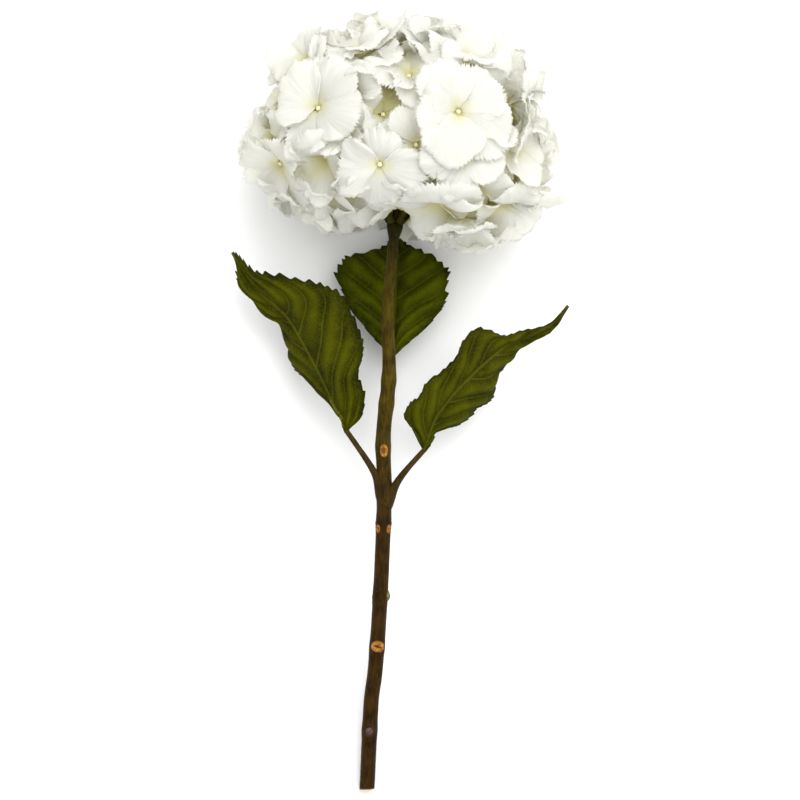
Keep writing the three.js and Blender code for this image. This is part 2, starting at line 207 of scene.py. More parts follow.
class Tree:
    # a short way to add and join nodes in one material or group
    def __init__(self, tree):
        self.tree = tree

    def add(self, kind, inputs=None, **settings):
        node = self.tree.nodes.new(kind)
        for key, value in settings.items():
            setattr(node, key, value)
        for key, value in (inputs or {}).items():
            if isinstance(value, bpy.types.NodeSocket):
                self.tree.links.new(value, node.inputs[key])
            else:
                node.inputs[key].default_value = value
        return node

    def plus(self, first, second):
        return self.add("ShaderNodeMath", {0: first, 1: second}, operation="ADD").outputs[0]

    def times(self, first, second):
        return self.add("ShaderNodeMath", {0: first, 1: second}, operation="MULTIPLY").outputs[0]

    def mix(self, factor, first, second):
        return self.add("ShaderNodeMix", {0: factor, 6: first, 7: second}, data_type="RGBA").outputs[2]

    def mark(self, name):
        return self.add("ShaderNodeAttribute", attribute_name=name).outputs["Fac"]

    def range(self, value, low, high, to=(0.0, 1.0)):
        inputs = {0: value, 1: low, 2: high, 3: to[0], 4: to[1]}
        return self.add("ShaderNodeMapRange", inputs, interpolation_type="SMOOTHSTEP").outputs[0]

    def noise(self, vector, scale, detail=3.0, rough=0.55):
        inputs = {"Vector": vector, "Scale": scale, "Detail": detail, "Roughness": rough}
        return self.add("ShaderNodeTexNoise", inputs).outputs["Fac"]

    def stretched(self, vector, scale):
        return self.add("ShaderNodeMapping", {"Vector": vector, "Scale": scale}).outputs[0]

    def bump(self, height, strength, distance):
        inputs = {"Height": height, "Strength": strength, "Distance": distance}
        return self.add("ShaderNodeBump", inputs).outputs[0]

    def body(self, colour, rough, normal, specular=0.5):
        inputs = {"Base Color": colour, "Roughness": rough, "Normal": normal}
        inputs["Specular IOR Level"] = specular
        return self.add("ShaderNodeBsdfPrincipled", inputs).outputs[0]

    def cover(self, output, shader):
        self.tree.links.new(shader, output.inputs["Surface"])


def newMaterial(name):
    material = bpy.data.materials.new(name)
    material.use_nodes = True
    tree = Tree(material.node_tree)
    material.node_tree.nodes.clear()
    output = tree.add("ShaderNodeOutputMaterial")
    coords = tree.add("ShaderNodeTexCoord")
    return material, tree, output, coords


def thinTissue(tree, output, colour, rough, normal, through, share, specular):
    # a gloss and body shader mixed with light that comes through from behind
    body = tree.body(colour, rough, normal, specular)
    behind = tree.add("ShaderNodeBsdfTranslucent", {"Color": through, "Normal": normal}).outputs[0]
    tree.cover(output, tree.add("ShaderNodeMixShader", {0: share, 1: body, 2: behind}).outputs[0])


def tissueGroup():
    # cells and fine veins of a petal or leaf: long streaks along the ray, broken by small cells
    group = bpy.data.node_groups.new("plantTissue", "ShaderNodeTree")
    for name, kind in (("Surface", "NodeSocketVector"), ("Place", "NodeSocketVector"),
                       ("Streaks", "NodeSocketFloat"), ("Cells", "NodeSocketFloat")):
        group.interface.new_socket(name, in_out="INPUT", socket_type=kind)
    for name in ("Veins", "Cells"):
        group.interface.new_socket(name, in_out="OUTPUT", socket_type="NodeSocketFloat")
    tree = Tree(group)
    entry, leave = tree.add("NodeGroupInput"), tree.add("NodeGroupOutput")
    wide = tree.add("ShaderNodeCombineXYZ", {0: entry.outputs["Streaks"], 1: 2.5, 2: 1.0}).outputs[0]
    ends = {0: entry.outputs["Surface"], 1: wide}
    scaled = tree.add("ShaderNodeVectorMath", ends, operation="MULTIPLY").outputs[0]
    veins = tree.noise(scaled, 1.0, 4.0, 0.6)
    cells = tree.noise(entry.outputs["Place"], entry.outputs["Cells"], 2.0, 0.5)
    group.links.new(veins, leave.inputs["Veins"])
    group.links.new(cells, leave.inputs["Cells"])
    return group


plantTissue = tissueGroup()


def tissue(tree, coords, streaks, cells):
    inputs = {"Surface": coords.outputs["UV"], "Place": coords.outputs["Object"]}
    inputs.update({"Streaks": streaks, "Cells": cells})
    node = tree.add("ShaderNodeGroup", inputs, node_tree=plantTissue)
    return node.outputs["Veins"], node.outputs["Cells"]


# the table, camera and light

studio = {
    "middle": (7.2, 234.0, 0.0),  # plant point in the middle of the view
    "distance": 2.4,  # of the camera, metres
    "viewWidth": 0.48,  # of the plant's plane, metres
    "floorColour": (0.96, 0.96, 0.958),
    "worldStrength": 1.0,  # even light from all round
    "keyWatts": 31.0,
    "keySize": 1.7,  # metres, and the fill's
    "keyFrom": (0.45, 0.75, 1.8),  # metres from the middle of the flower
    "fillWatts": 3.0,
    "fillFrom": (0.9, -0.6, 1.4),
}


def lookFrom(obj, place, target, upward):
    # the object's -Z points at the target and its Y lies along upward
    back = unit(place - target)
    right = unit(np.cross(upward, back))
    turn = np.column_stack([right, np.cross(back, right), back, place])
    obj.matrix_world = Matrix([*turn.tolist(), [0, 0, 0, 1]])


def makeStudio():
    target = onTable(studio["middle"])
    eye = target + plantAxes[2] * studio["distance"]
    camera = bpy.data.objects.new("camera", bpy.data.cameras.new("camera"))
    camera.data.sensor_width = 36
    camera.data.lens = 36 * studio["distance"] / studio["viewWidth"]
    camera.data.clip_start, camera.data.clip_end = 0.05, 30
    bpy.context.scene.collection.objects.link(camera)
    lookFrom(camera, eye, target, plantAxes[1])
    bpy.context.scene.camera = camera

    for name, watts, size, place in (("key", studio["keyWatts"], studio["keySize"], studio["keyFrom"]),
                                     ("fill", studio["fillWatts"], studio["keySize"], studio["fillFrom"])):
        light = bpy.data.lights.new(name, "AREA")
        light.energy, light.size = watts, size
        lamp = bpy.data.objects.new(name, light)
        bpy.context.scene.collection.objects.link(lamp)
        lookFrom(lamp, np.array(place), np.array([0.0, 0.1, 0.05]), np.array([0.0, 1.0, 0.0]))

    world = bpy.data.worlds.new("studio")
    bpy.context.scene.world = world
    world.use_nodes = True
    world.node_tree.nodes["Background"].inputs[0].default_value = (1, 1, 1, 1)
    world.node_tree.nodes["Background"].inputs[1].default_value = studio["worldStrength"]
    bpy.context.scene.view_settings.view_transform = "Standard"

    half = 6.0
    corners = np.array([[-half, -half, 0], [half, -half, 0], [half, half, 0], [-half, half, 0]])
    floor = makePiece("tableTop", corners - [0, 0, 0.0002], np.array([[0, 1, 2, 3]]), smooth=False)
    material, tree, output, coords = newMaterial("palePaper")
    normal = tree.bump(tree.noise(coords.outputs["Object"], 900.0), 0.05, 0.0002)
    tree.cover(output, tree.body((*studio["floorColour"], 1), 0.8, normal, 0.2))
    floor.data.materials.append(material)


makeStudio()
print("studio made")

# the head of florets

sepalShape = {
    "length": (23.0, 31.0),  # mm, from the eye to the tip
    "halfSpread": (63.0, 82.0),  # degrees between the middle ray and the outermost one
    "shoulder": 0.33,  # lower is squarer
    "rise": (40.0, 72.0),  # degrees above the floret's plane at the base, where neighbours hem it in
    "curl": (45.0, 125.0),  # degrees by which it bends back by the tip
    "openRise": (8.0, 26.0),  # the same two on a floret that lies wide open
    "openCurl": (8.0, 44.0),
    "cup": (-0.16, 0.24),  # edges up, as a share of the length
    "fold": 0.42,  # the same on a folded sepal
    "waves": 0.14,  # slow waves, as a share of the length
    "frill": 2.0,  # mm, quick waves of the margin
    "pleat": 0.2,  # mm, ridges that run out to the teeth
    "tooth": 0.135,  # depth of the teeth, as a share of the length
    "thickness": 0.34,
    "margin": 0.14,  # mm thick at the edge
    "rows": 11,  # the finished grid, rows from claw to margin and rays from side to side
    "rays": 71,
    "claw": 1.3,  # mm from the floret's axis to where the blade begins
}
crowd = {
    "rows": 7,  # the coarse grid that is pushed about
    "rays": 9,
    "startSize": 0.3,  # of the full size, as buds
    "growSteps": 72,
    "restSteps": 26,
    "clearance": 2.9,  # mm kept between sepals
    "sisterShare": 0.5,  # of it between the sepals of one floret, which may touch near the eye
    "push": 0.42,  # the share of an overlap that one step clears
    "longestPush": 1.5,  # mm in one step
    "springBack": 0.985,  # the share of its shift that a sepal keeps from step to step
    "eyeDepth": (13.0, 19.0),  # mm of the eye below the head's outline, in the middle and at the rim
    "eyeHeight": 4.5,  # of the lowest eyes above the table, mm
    "eyeLevels": 5.0,  # mm between the levels of neighbouring florets
    "outline": (1.03, 1.28),  # shares of the head's outline between which sepals are pulled back more
    "pull": 0.35,  # the share of the way back in one step
    "tableGap": 2.0,  # mm between the table and a growing sepal
    "stemGap": 9.0,  # mm of a growing sepal from the stem's middle
    "twins": 62,  # florets that share another's pedicel, in the gaps below the others
    "twinWays": 700,  # directions to choose from
    "twinDepth": (11.0, 22.0),  # mm of a twin's eye below the head's outline
    "stemCone": 0.86,  # cosine of the angle to the stem within which no twin grows
    "twinFork": 0.45,  # where the shared pedicel forks
    "lean": 0.34,  # how much the florets lean at random, radians
    "droop": 0.85,  # how much the florets of the lower rim hang
    "arch": (4.2, 350.0, 12.0, 15.0),  # the opening over the fork: middle, top, half width and fall, mm
}
# the head's outline as seen from the front, against its ellipse: every 30 degrees from its right end
lobes = (1.03, 1.0, 1.03, 0.96, 0.94, 0.99, 0.95, 1.06, 1.01, 0.84, 1.03, 1.14)
florets = sorted(name for name in nodes if name.startswith("floret_"))
dice = np.random.default_rng(19)

roll = math.radians(plant["headRoll"])
headAxes = np.array([[math.cos(roll), math.sin(roll), 0], [-math.sin(roll), math.cos(roll), 0], [0, 0, 1]])
headMiddle, headHalf = np.array(plant["headMiddle"]), np.array(plant["headHalf"])


def headShare(points):
    # a point's place in the head: 1 on its ellipsoid, 0 in the middle, as a vector in the head's own axes
    return (points - headMiddle) @ headAxes.T / headHalf


def fromShare(shares):
    return shares * headHalf @ headAxes + headMiddle


def lobeSize(shares):
    # how far the outline stands from the ellipsoid that way: a smooth closed curve through the lobes, which
    # counts in full at the rim and not at all in the middle of the front
    turn = np.degrees(np.arctan2(shares[..., 1], shares[..., 0])) % 360 / 30
    closed = np.array((lobes[-1], *lobes, lobes[0], lobes[1]))[:, None]
    size = curveAt(closed, (turn + 1) / (len(closed) - 1))[..., 0]
    level = np.sum(shares[..., :2] ** 2, axis=-1) / np.maximum(np.sum(shares**2, axis=-1), 1e-9)
    return 1 + (size - 1) * level


# the large florets of the front: depth of the eye, lean to the right and up in degrees, the way one sepal
# points (0 right, 90 up), their size, how open they lie (0 hemmed in, 1 flat), and the eye's shift in mm
keyFlorets = {
    "floret_01": (5.5, 6, 8, 72, 1.16, 0.9, (0, 0)),
    "floret_02": (3.5, 2, 4, 84, 1.0, 0.9, (0, -4)),
    "floret_03": (2.0, -4, 2, 50, 1.18, 0.9, (2, 0)),
    "floret_04": (5.5, 4, 34, 268, 1.12, 0.8, (0, 4)),
    "floret_05": (12.0, 0, -48, 85, 1.3, 0.35, (2, 4)),
    "floret_06": (17.0, -16, 0, 20, 1.0, 0.05, (0, 0)),
    "floret_07": (16.0, 8, -10, 60, 1.0, 0.0, (0, 0)),
    "floret_09": (13.0, 4, 20, 100, 1.1, 0.25, (0, 0)),
    "floret_10": (12.0, 10, 24, 70, 1.05, 0.5, (0, 0)),
    "floret_14": (17.0, -6, -32, 80, 1.05, 0.1, (0, 2)),
    "floret_15": (13.0, -6, -40, 95, 1.0, 0.25, (0, 3)),
    "floret_17": (20.0, 14, 10, 45, 0.9, 0.0, (0, 0)),
}


tableUp = plantAxes.T[2]  # the table's up direction in the plant's frame
tableLow = offTable(np.zeros((1, 3)))[0] @ tableUp


def floretPlaces():
    # each floret's pedicel foot, eye and outward axis, found from its frame piece
    places = []
    for index, name in enumerate(florets):
        corners = offTable(nodePoints(name))
        reach = np.linalg.norm(headShare(corners), axis=1)
        foot = corners[reach < reach.min() + 0.02].mean(0)
        share = unit(headShare(corners[reach > reach.max() - 0.2].mean(0)))
        level = np.sum(share[:2] ** 2)
        depth = np.interp(level, [0.2, 0.9], crowd["eyeDepth"]) + crowd["eyeLevels"] * ((index * 2) % 3 - 1)
        shift = (0, 0)
        if name in keyFlorets:
            depth, shift = keyFlorets[name][0], keyFlorets[name][6]
        eye = fromShare(share * (lobeSize(share) - depth / headHalf.mean())) + [*shift, 0]
        places.append((foot, eye, share, index))
    # twins: each goes where it is furthest from all the others, clear of the stem, and forks off the nearest
    turn = np.arange(crowd["twinWays"])
    height = 1 - (2 * turn + 1) / crowd["twinWays"]
    out = np.sqrt(1 - height**2)
    golden = turn * math.pi * (3 - math.sqrt(5))
    ways = np.stack([out * np.cos(golden), height, out * np.sin(golden)], -1)
    stemWay = unit(headShare(np.array(plant["knob"], float)))
    taken = [place[2] for place in places]
    for _ in range(crowd["twins"]):
        nearest = np.max(ways @ np.array(taken).T, axis=1)
        nearest = np.where(ways @ stemWay > crowd["stemCone"], 1, nearest)
        way = ways[nearest.argmin()]
        host = int(np.argmax(np.array(taken[:len(florets)]) @ way))
        foot, hostEye = places[host][:2]
        fork = foot + (hostEye - foot) * crowd["twinFork"]
        depth = dice.uniform(*crowd["twinDepth"])
        places.append((fork, fromShare(way * (lobeSize(way) - depth / headHalf.mean())), way, host))
        taken.append(way)
    feet, eyes, shares, hosts = (np.array(part) for part in zip(*places))
    lift = np.maximum(tableLow + crowd["eyeHeight"] - eyes @ tableUp, 0)
    normals = unit((shares / headHalf) @ headAxes)
    return feet, eyes + lift[:, None] * tableUp, normals, hosts


feet, eyes, outward, hosts = floretPlaces()
floretCount = len(eyes)
# most florets have four sepals and a few have five
sepalCounts = np.where(dice.random(floretCount) < 0.16, 5, 4)
owner = np.repeat(np.arange(floretCount), sepalCounts)
orderInFloret = np.concatenate([np.arange(count) for count in sepalCounts])
sepalCount = len(owner)


def between(limits, shut=None, wide=None):
    # a random value for each sepal, or one that moves from the first limits to the second as florets open
    value = dice.uniform(*limits, sepalCount)
    if shut is None:
        return value
    return value * shut + dice.uniform(*wide, sepalCount) * (1 - shut)


lean = dice.normal(0, crowd["lean"], (floretCount, 3))
spin = dice.uniform(0, 2 * np.pi, floretCount)
size = dice.normal(1, 0.07, floretCount)
size[len(florets):] *= 0.93
openness = dice.uniform(0, 0.4, floretCount)
lean[:, 1] -= crowd["droop"] * smoothstep(0.0, -0.75, outward[:, 1])
for index, name in enumerate(florets):
    if name in keyFlorets:
        _, right, upward, angle, size[index], openness[index], _ = keyFlorets[name]
        lean[index] = np.tan(np.radians([right, upward, 0]))
        spin[index] = math.radians(angle + 180)
floretAxis = unit(outward + lean)
floretSide = unit(np.cross(floretAxis, np.where(abs(floretAxis[:, 1:2]) < 0.9, [[0, 1.0, 0]], [[0, 0, 1.0]])))
floretOther = np.cross(floretAxis, floretSide)
bearing = spin[owner] + (orderInFloret + dice.normal(0, 0.07, sepalCount)) * 2 * np.pi / sepalCounts[owner]
ray = (np.cos(bearing)[:, None] * floretSide[owner] + np.sin(bearing)[:, None] * floretOther[owner])
across = np.cross(floretAxis[owner], ray)
inner = orderInFloret % 2
shut = 1 - openness[owner]
length = between(sepalShape["length"]) * size[owner]
halfSpread = np.radians(between(sepalShape["halfSpread"]))
rise = np.radians(between(sepalShape["rise"], shut, sepalShape["openRise"]) + 9 * inner)
curl = np.radians(between(sepalShape["curl"], shut, sepalShape["openCurl"]))
# some sepals are folded lengthwise
folded = (dice.random(sepalCount) < 0.16) * dice.choice([-1, 1, 1], sepalCount)
cupping = between(sepalShape["cup"]) + folded * sepalShape["fold"]
twist = dice.normal(0, 0.12, sepalCount) * (1 + shut)
waveSize = dice.normal(0, sepalShape["waves"], (sepalCount, 3)) / np.array([1.0, 1.4, 2.0])
waveSize = waveSize * (0.6 + 0.6 * shut)[:, None]
wavePhase = dice.uniform(0, 2 * np.pi, (sepalCount, 3))
dentSize = dice.uniform(0.0, 0.05, (sepalCount, 2))  # slow dents in the outline


def sepalSurface(outwards, sideways):
    # rays fan out from the claw: reach = length * cos(ray)^shoulder; the blade bends back along an arc,
    # height = (cos(rise - bend) - cos(rise)) / bend, plus a cup and slow waves that grow towards the edge
    s, a = np.meshgrid(outwards, sideways, indexing="ij")
    angle = a[None] * halfSpread[:, None, None]
    reach = np.cos(a * np.pi / 2 * 0.985) ** sepalShape["shoulder"]
    dents = dentSize[:, 0, None, None] * np.sin(5 * a + wavePhase[:, 0, None, None])
    dents = dents + dentSize[:, 1, None, None] * np.sin(9 * a + wavePhase[:, 1, None, None])
    flat = s[None] * reach[None] * (1 + dents * s[None]) * length[:, None, None]
    sideReach, alongReach = flat * np.sin(angle), flat * np.cos(angle)
    bend = (curl / length)[:, None, None]
    start = rise[:, None, None]
    along = (np.sin(start) - np.sin(start - bend * alongReach)) / bend
    height = (np.cos(start - bend * alongReach) - np.cos(start)) / bend
    height = height + cupping[:, None, None] * sideReach**2 / length[:, None, None] * 2
    height = height + twist[:, None, None] * sideReach
    for k in range(3):
        wave = np.sin((k + 1.2) * angle * 1.5 + wavePhase[:, k, None, None])
        height = height + waveSize[:, k, None, None] * length[:, None, None] * s**2 * wave
    height = height + inner[:, None, None] * 1.1
    place = (sepalShape["claw"] + along)[..., None] * ray[:, None, None]
    place = place + sideReach[..., None] * across[:, None, None]
    place = place + height[..., None] * floretAxis[owner][:, None, None]
    return place


def nearPairs(points, reach):
    # pairs of points in one cube or in neighbouring cubes: sorted cube numbers, searched for each of 14 steps
    cube = np.floor(points / reach).astype(np.int64)
    cube -= cube.min(0) - 1
    size = cube.max(0) + 2
    key = (cube[:, 0] * size[1] + cube[:, 1]) * size[2] + cube[:, 2]
    order = np.argsort(key, kind="stable")
    ranked = key[order]
    steps = [(x, y, z) for x in (-1, 0, 1) for y in (-1, 0, 1) for z in (-1, 0, 1) if (x, y, z) >= (0, 0, 0)]
    firsts, seconds = [], []
    for x, y, z in steps:
        wanted = key + (x * size[1] + y) * size[2] + z
        low = np.searchsorted(ranked, wanted, "left")
        count = np.searchsorted(ranked, wanted, "right") - low
        first = np.repeat(np.arange(len(points)), count)
        offset = np.arange(count.sum()) - np.repeat(np.cumsum(count) - count, count)
        second = order[np.repeat(low, count) + offset]
        keep = first < second if (x, y, z) == (0, 0, 0) else np.full(len(first), True)
        firsts.append(first[keep])
        seconds.append(second[keep])
    return np.concatenate(firsts), np.concatenate(seconds)


def basis(outwards, sideways, powers):
    s, a = np.meshgrid(outwards, sideways, indexing="ij")
    return np.stack([(s**i * a**j).ravel() for i, j in powers], -1)


def keepInside(points):
    # back into the head's outline, up off the table, clear of the stem and out of the arch over its fork
    shares = headShare(points)
    far = np.linalg.norm(shares, axis=-1) / lobeSize(shares)
    pulled = fromShare(shares / np.maximum(far, 1)[:, None])
    points = points + (pulled - points) * smoothstep(*crowd["outline"], far)[:, None] * crowd["pull"]
    below = np.maximum(tableLow + crowd["tableGap"] - points @ tableUp, 0)
    points = points + below[:, None] * tableUp
    fromStem = points[:, [0, 2]] - np.array(plant["knob"])[[0, 2]]
    near = np.linalg.norm(fromStem, axis=1)
    inside = np.where(points[:, 1] < plant["knob"][1] + 6, np.maximum(crowd["stemGap"] - near, 0), 0)
    points[:, [0, 2]] += fromStem / np.maximum(near, 1e-6)[:, None] * inside[:, None]
    middle, top, half, fall = crowd["arch"]
    hem = top - fall * ((points[:, 0] - middle) / half) ** 2
    points[:, 1] += np.where(points[:, 2] > 0, np.maximum(hem - points[:, 1], 0), 0) * 0.5
    return points


def crowdSepals():
    # the sepals grow from buds and push each other aside: where two points come closer than the clearance
    # both move apart, each sepal then bends smoothly (a few powers of its parameters) and keeps its lengths
    outwards = np.linspace(0.1, 1, crowd["rows"])
    sideways = np.linspace(-0.96, 0.96, crowd["rays"])
    rest = sepalSurface(outwards, sideways)
    count = crowd["rows"] * crowd["rays"]
    powers = [(2, 0), (2, 1), (2, 2), (3, 0), (3, 1), (3, 2), (3, 3), (4, 0), (4, 4)]
    modes = basis(outwards, sideways, powers)
    smooth = modes @ np.linalg.pinv(modes)
    shift = np.zeros((sepalCount, count, 3))
    base = eyes[owner][:, None]
    sepalOf = np.repeat(np.arange(sepalCount), count)
    ownerOf = owner[sepalOf]
    outOf = np.tile(np.repeat(outwards, crowd["rays"]), sepalCount)
    legs = np.linalg.norm(np.diff(rest, axis=1), axis=-1)
    for step in range(crowd["growSteps"] + crowd["restSteps"]):
        size = min(1.0, crowd["startSize"] + (1 - crowd["startSize"]) * step / crowd["growSteps"])
        grown = base + rest.reshape(sepalCount, count, 3) * size
        points = (grown + shift).reshape(-1, 3)
        if step % 3 == 0:
            first, second = nearPairs(points, crowd["clearance"] * 1.6)
            differ = sepalOf[first] != sepalOf[second]
            same = ownerOf[first] == ownerOf[second]
            tips = (outOf[first] > 0.35) & (outOf[second] > 0.35)
            keep = differ & (~same | tips)
            first, second = first[keep], second[keep]
        gap = points[first] - points[second]
        distance = np.linalg.norm(gap, axis=1)
        closeness = np.where(ownerOf[first] == ownerOf[second], crowd["sisterShare"], 1.0)
        overlap = np.maximum(crowd["clearance"] * closeness - distance, 0)
        push = gap / np.maximum(distance, 1e-6)[:, None] * (overlap * crowd["push"])[:, None]
        move = np.zeros_like(points)
        for axis in range(3):
            move[:, axis] += np.bincount(first, push[:, axis], len(points))
            move[:, axis] -= np.bincount(second, push[:, axis], len(points))
        points = keepInside(points + np.clip(move, -crowd["longestPush"], crowd["longestPush"]))
        shift = (points.reshape(sepalCount, count, 3) - grown) * crowd["springBack"]
        shift = np.einsum("ij,sjk->sik", smooth, shift)
        bent = (grown + shift).reshape(sepalCount, crowd["rows"], crowd["rays"], 3)
        for row in range(1, crowd["rows"]):
            leg = bent[:, row] - bent[:, row - 1]
            wanted = legs[:, row - 1] * size
            bent[:, row:] += (unit(leg) * wanted[..., None] - leg)[:, None]
        shift = bent.reshape(sepalCount, count, 3) - grown
    finePowers = [(i, j) for i in range(1, 5) for j in range(5)]
    fit = np.linalg.pinv(basis(outwards, sideways, finePowers), rcond=1e-4)
    return np.einsum("ij,sjk->sik", fit, shift), finePowers


def fineSepals(bends, powers):
    # the full surface of every sepal: the rest shape, plus the crowd's bend, plus frills, pleats and teeth
    rows, rays = sepalShape["rows"], sepalShape["rays"]
    outwards = np.linspace(0, 1, rows) ** 0.85
    sideways = np.linspace(-1, 1, rays)
    place = sepalSurface(outwards, sideways) + eyes[owner][:, None, None]
    bend = np.einsum("ij,sjk->sik", basis(outwards, sideways, powers), bends)
    place = place + bend.reshape(sepalCount, rows, rays, 3)
    alongS = np.gradient(place, axis=1)
    alongA = np.gradient(place, axis=2)
    normal = unit(np.cross(alongS, alongA))
    facing = np.sign(np.sum(normal * floretAxis[owner][:, None, None], axis=(1, 2, 3)))
    normal = normal * facing[:, None, None, None]
    s = outwards[None, :, None]
    a = sideways[None, None, :]
    frill = np.zeros((sepalCount, rows, rays))
    for waves, low, share in ((7.0, 0.3, 0.8), (14.0, 0.45, 0.55), (25.0, 0.6, 0.36)):
        phase = dice.uniform(0, 2 * np.pi, (sepalCount, 1, 1))
        size = dice.uniform(0.3, 1.0, (sepalCount, 1, 1)) * share
        frill = frill + size * np.sin(waves * a + phase + 1.5 * s) * smoothstep(low, 1.05, s)
    frill = frill * sepalShape["frill"]
    pleatPhase = dice.uniform(0, 2 * np.pi, (sepalCount, 1, 1))
    pleats = np.sin(a * 44 + pleatPhase) * np.sin(a * 15 + pleatPhase * 2)
    frill = frill + pleats * sepalShape["pleat"] * smoothstep(0.1, 0.7, s)
    place = place + normal * frill[..., None]
    # teeth come and go along the margin, and some sepals have hardly any
    depth = dice.uniform(0.3, 1.2, (sepalCount, rays)) * (np.arange(rays) % 2)
    patchWaves = dice.uniform(4, 9, (sepalCount, 1))
    patchPhase = dice.uniform(0, 6.28, (sepalCount, 1))
    patch = 0.62 + 0.38 * np.sin(patchWaves * sideways + patchPhase)
    depth = depth * patch * dice.uniform(0.45, 1.25, (sepalCount, 1))
    depth = depth + dice.uniform(0, 0.3, (sepalCount, rays))
    depth = depth * sepalShape["tooth"] * length[:, None]
    outer = unit(place[:, -1] - place[:, -3])
    ramp = smoothstep(0.7, 1.0, outwards)
    place = place - ramp[None, :, None, None] * depth[:, None, :, None] * outer[:, None]
    # what would touch the table lies on it
    height = place @ tableUp - tableLow
    lift = np.where(height < 1.2, 0.35 + 0.85 * np.exp(np.minimum(height - 1.2, 0) / 0.85) - height, 0)
    place = place + lift[..., None] * tableUp
    thick = sepalShape["margin"] + (sepalShape["thickness"] - sepalShape["margin"]) * smoothstep(1.0, 0.8, s)
    half = normal * thick[..., None] / 2
    return place + half, place - half, facing, outwards, sideways


bends, bendPowers = crowdSepals()
print("sepals crowded:", sepalCount)
faceSide, backSide, facing, outwards, sideways = fineSepals(bends, bendPowers)
print("sepals shaped")

pedicelShape = {"radius": (0.75, 1.05), "sides": 8, "rings": 7}
eyeShape = {"radius": 1.6, "height": 1.1, "rings": 7, "sides": 12}


def sepalMaterial():
    material, tree, output, coords = newMaterial("whiteSepal")
    veins, cells = tissue(tree, coords, 46.0, 1400.0)
    outward = tree.mark("outward")
    deep = tree.mark("deep")
    white = tree.mix(tree.range(veins, 0.35, 0.7), srgb(243, 243, 240), srgb(249, 249, 248))
    cream = tree.mix(tree.range(outward, 0.02, 0.36), srgb(246, 244, 216), white)
    lime = tree.mix(tree.range(outward, 0.0, 0.1), srgb(214, 209, 130), cream)
    # painted shade: the deeper a sepal lies below the head's outline, the creamier and then more yellow-green
    # it turns. The inner sepals are greener, and the tint also paints the shade in the head's hollows
    deepTintAndShade = tree.mix(tree.range(deep, 0.07, 0.22), lime, srgb(246, 243, 200))
    deepTintAndShade = tree.mix(tree.range(deep, 0.19, 0.4), deepTintAndShade, srgb(238, 233, 158))
    rim = tree.mix(tree.times(tree.range(outward, 0.965, 1.0), 0.08), deepTintAndShade, srgb(214, 205, 172))
    height = tree.plus(veins, tree.times(cells, 0.25))
    normal = tree.bump(height, 0.5, 0.0004)
    rough = tree.range(cells, 0.3, 0.7, (0.52, 0.68))
    through = tree.mix(0.3, rim, srgb(252, 251, 236))
    thinTissue(tree, output, rim, rough, normal, through, 0.6, 0.12)
    return material


def plainPlant(name, dark, light, scale):
    material, tree, output, coords = newMaterial(name)
    patches = tree.noise(coords.outputs["Object"], scale, 4.0)
    colour = tree.mix(tree.range(patches, 0.35, 0.65), dark, light)
    tree.cover(output, tree.body(colour, 0.55, tree.bump(patches, 0.5, 0.0002)))
    return material


whiteSepal = sepalMaterial()
eyeMaterial = plainPlant("floretEye", srgb(226, 222, 160), srgb(241, 238, 206), 900.0)
pedicelMaterial = plainPlant("pedicelSkin", srgb(206, 206, 140), srgb(230, 230, 182), 500.0)


def eyeDome(place, axis, side, other):
    # the closed bud in the eye: a dome, radius * sin, height * cos, with a faint cross-shaped groove
    polar = np.linspace(0.12, np.pi - 0.12, eyeShape["rings"])[:, None]
    turn = turnsOf(eyeShape["sides"])
    groove = 1 - 0.12 * np.abs(np.cos(2 * turn)) * np.sin(polar)
    out = eyeShape["radius"] * np.sin(polar) * groove
    up = -eyeShape["height"] * np.cos(polar) * np.ones_like(turn)
    return roundPoints(place, (side, other, axis), out, up, turn, eyeShape["height"])


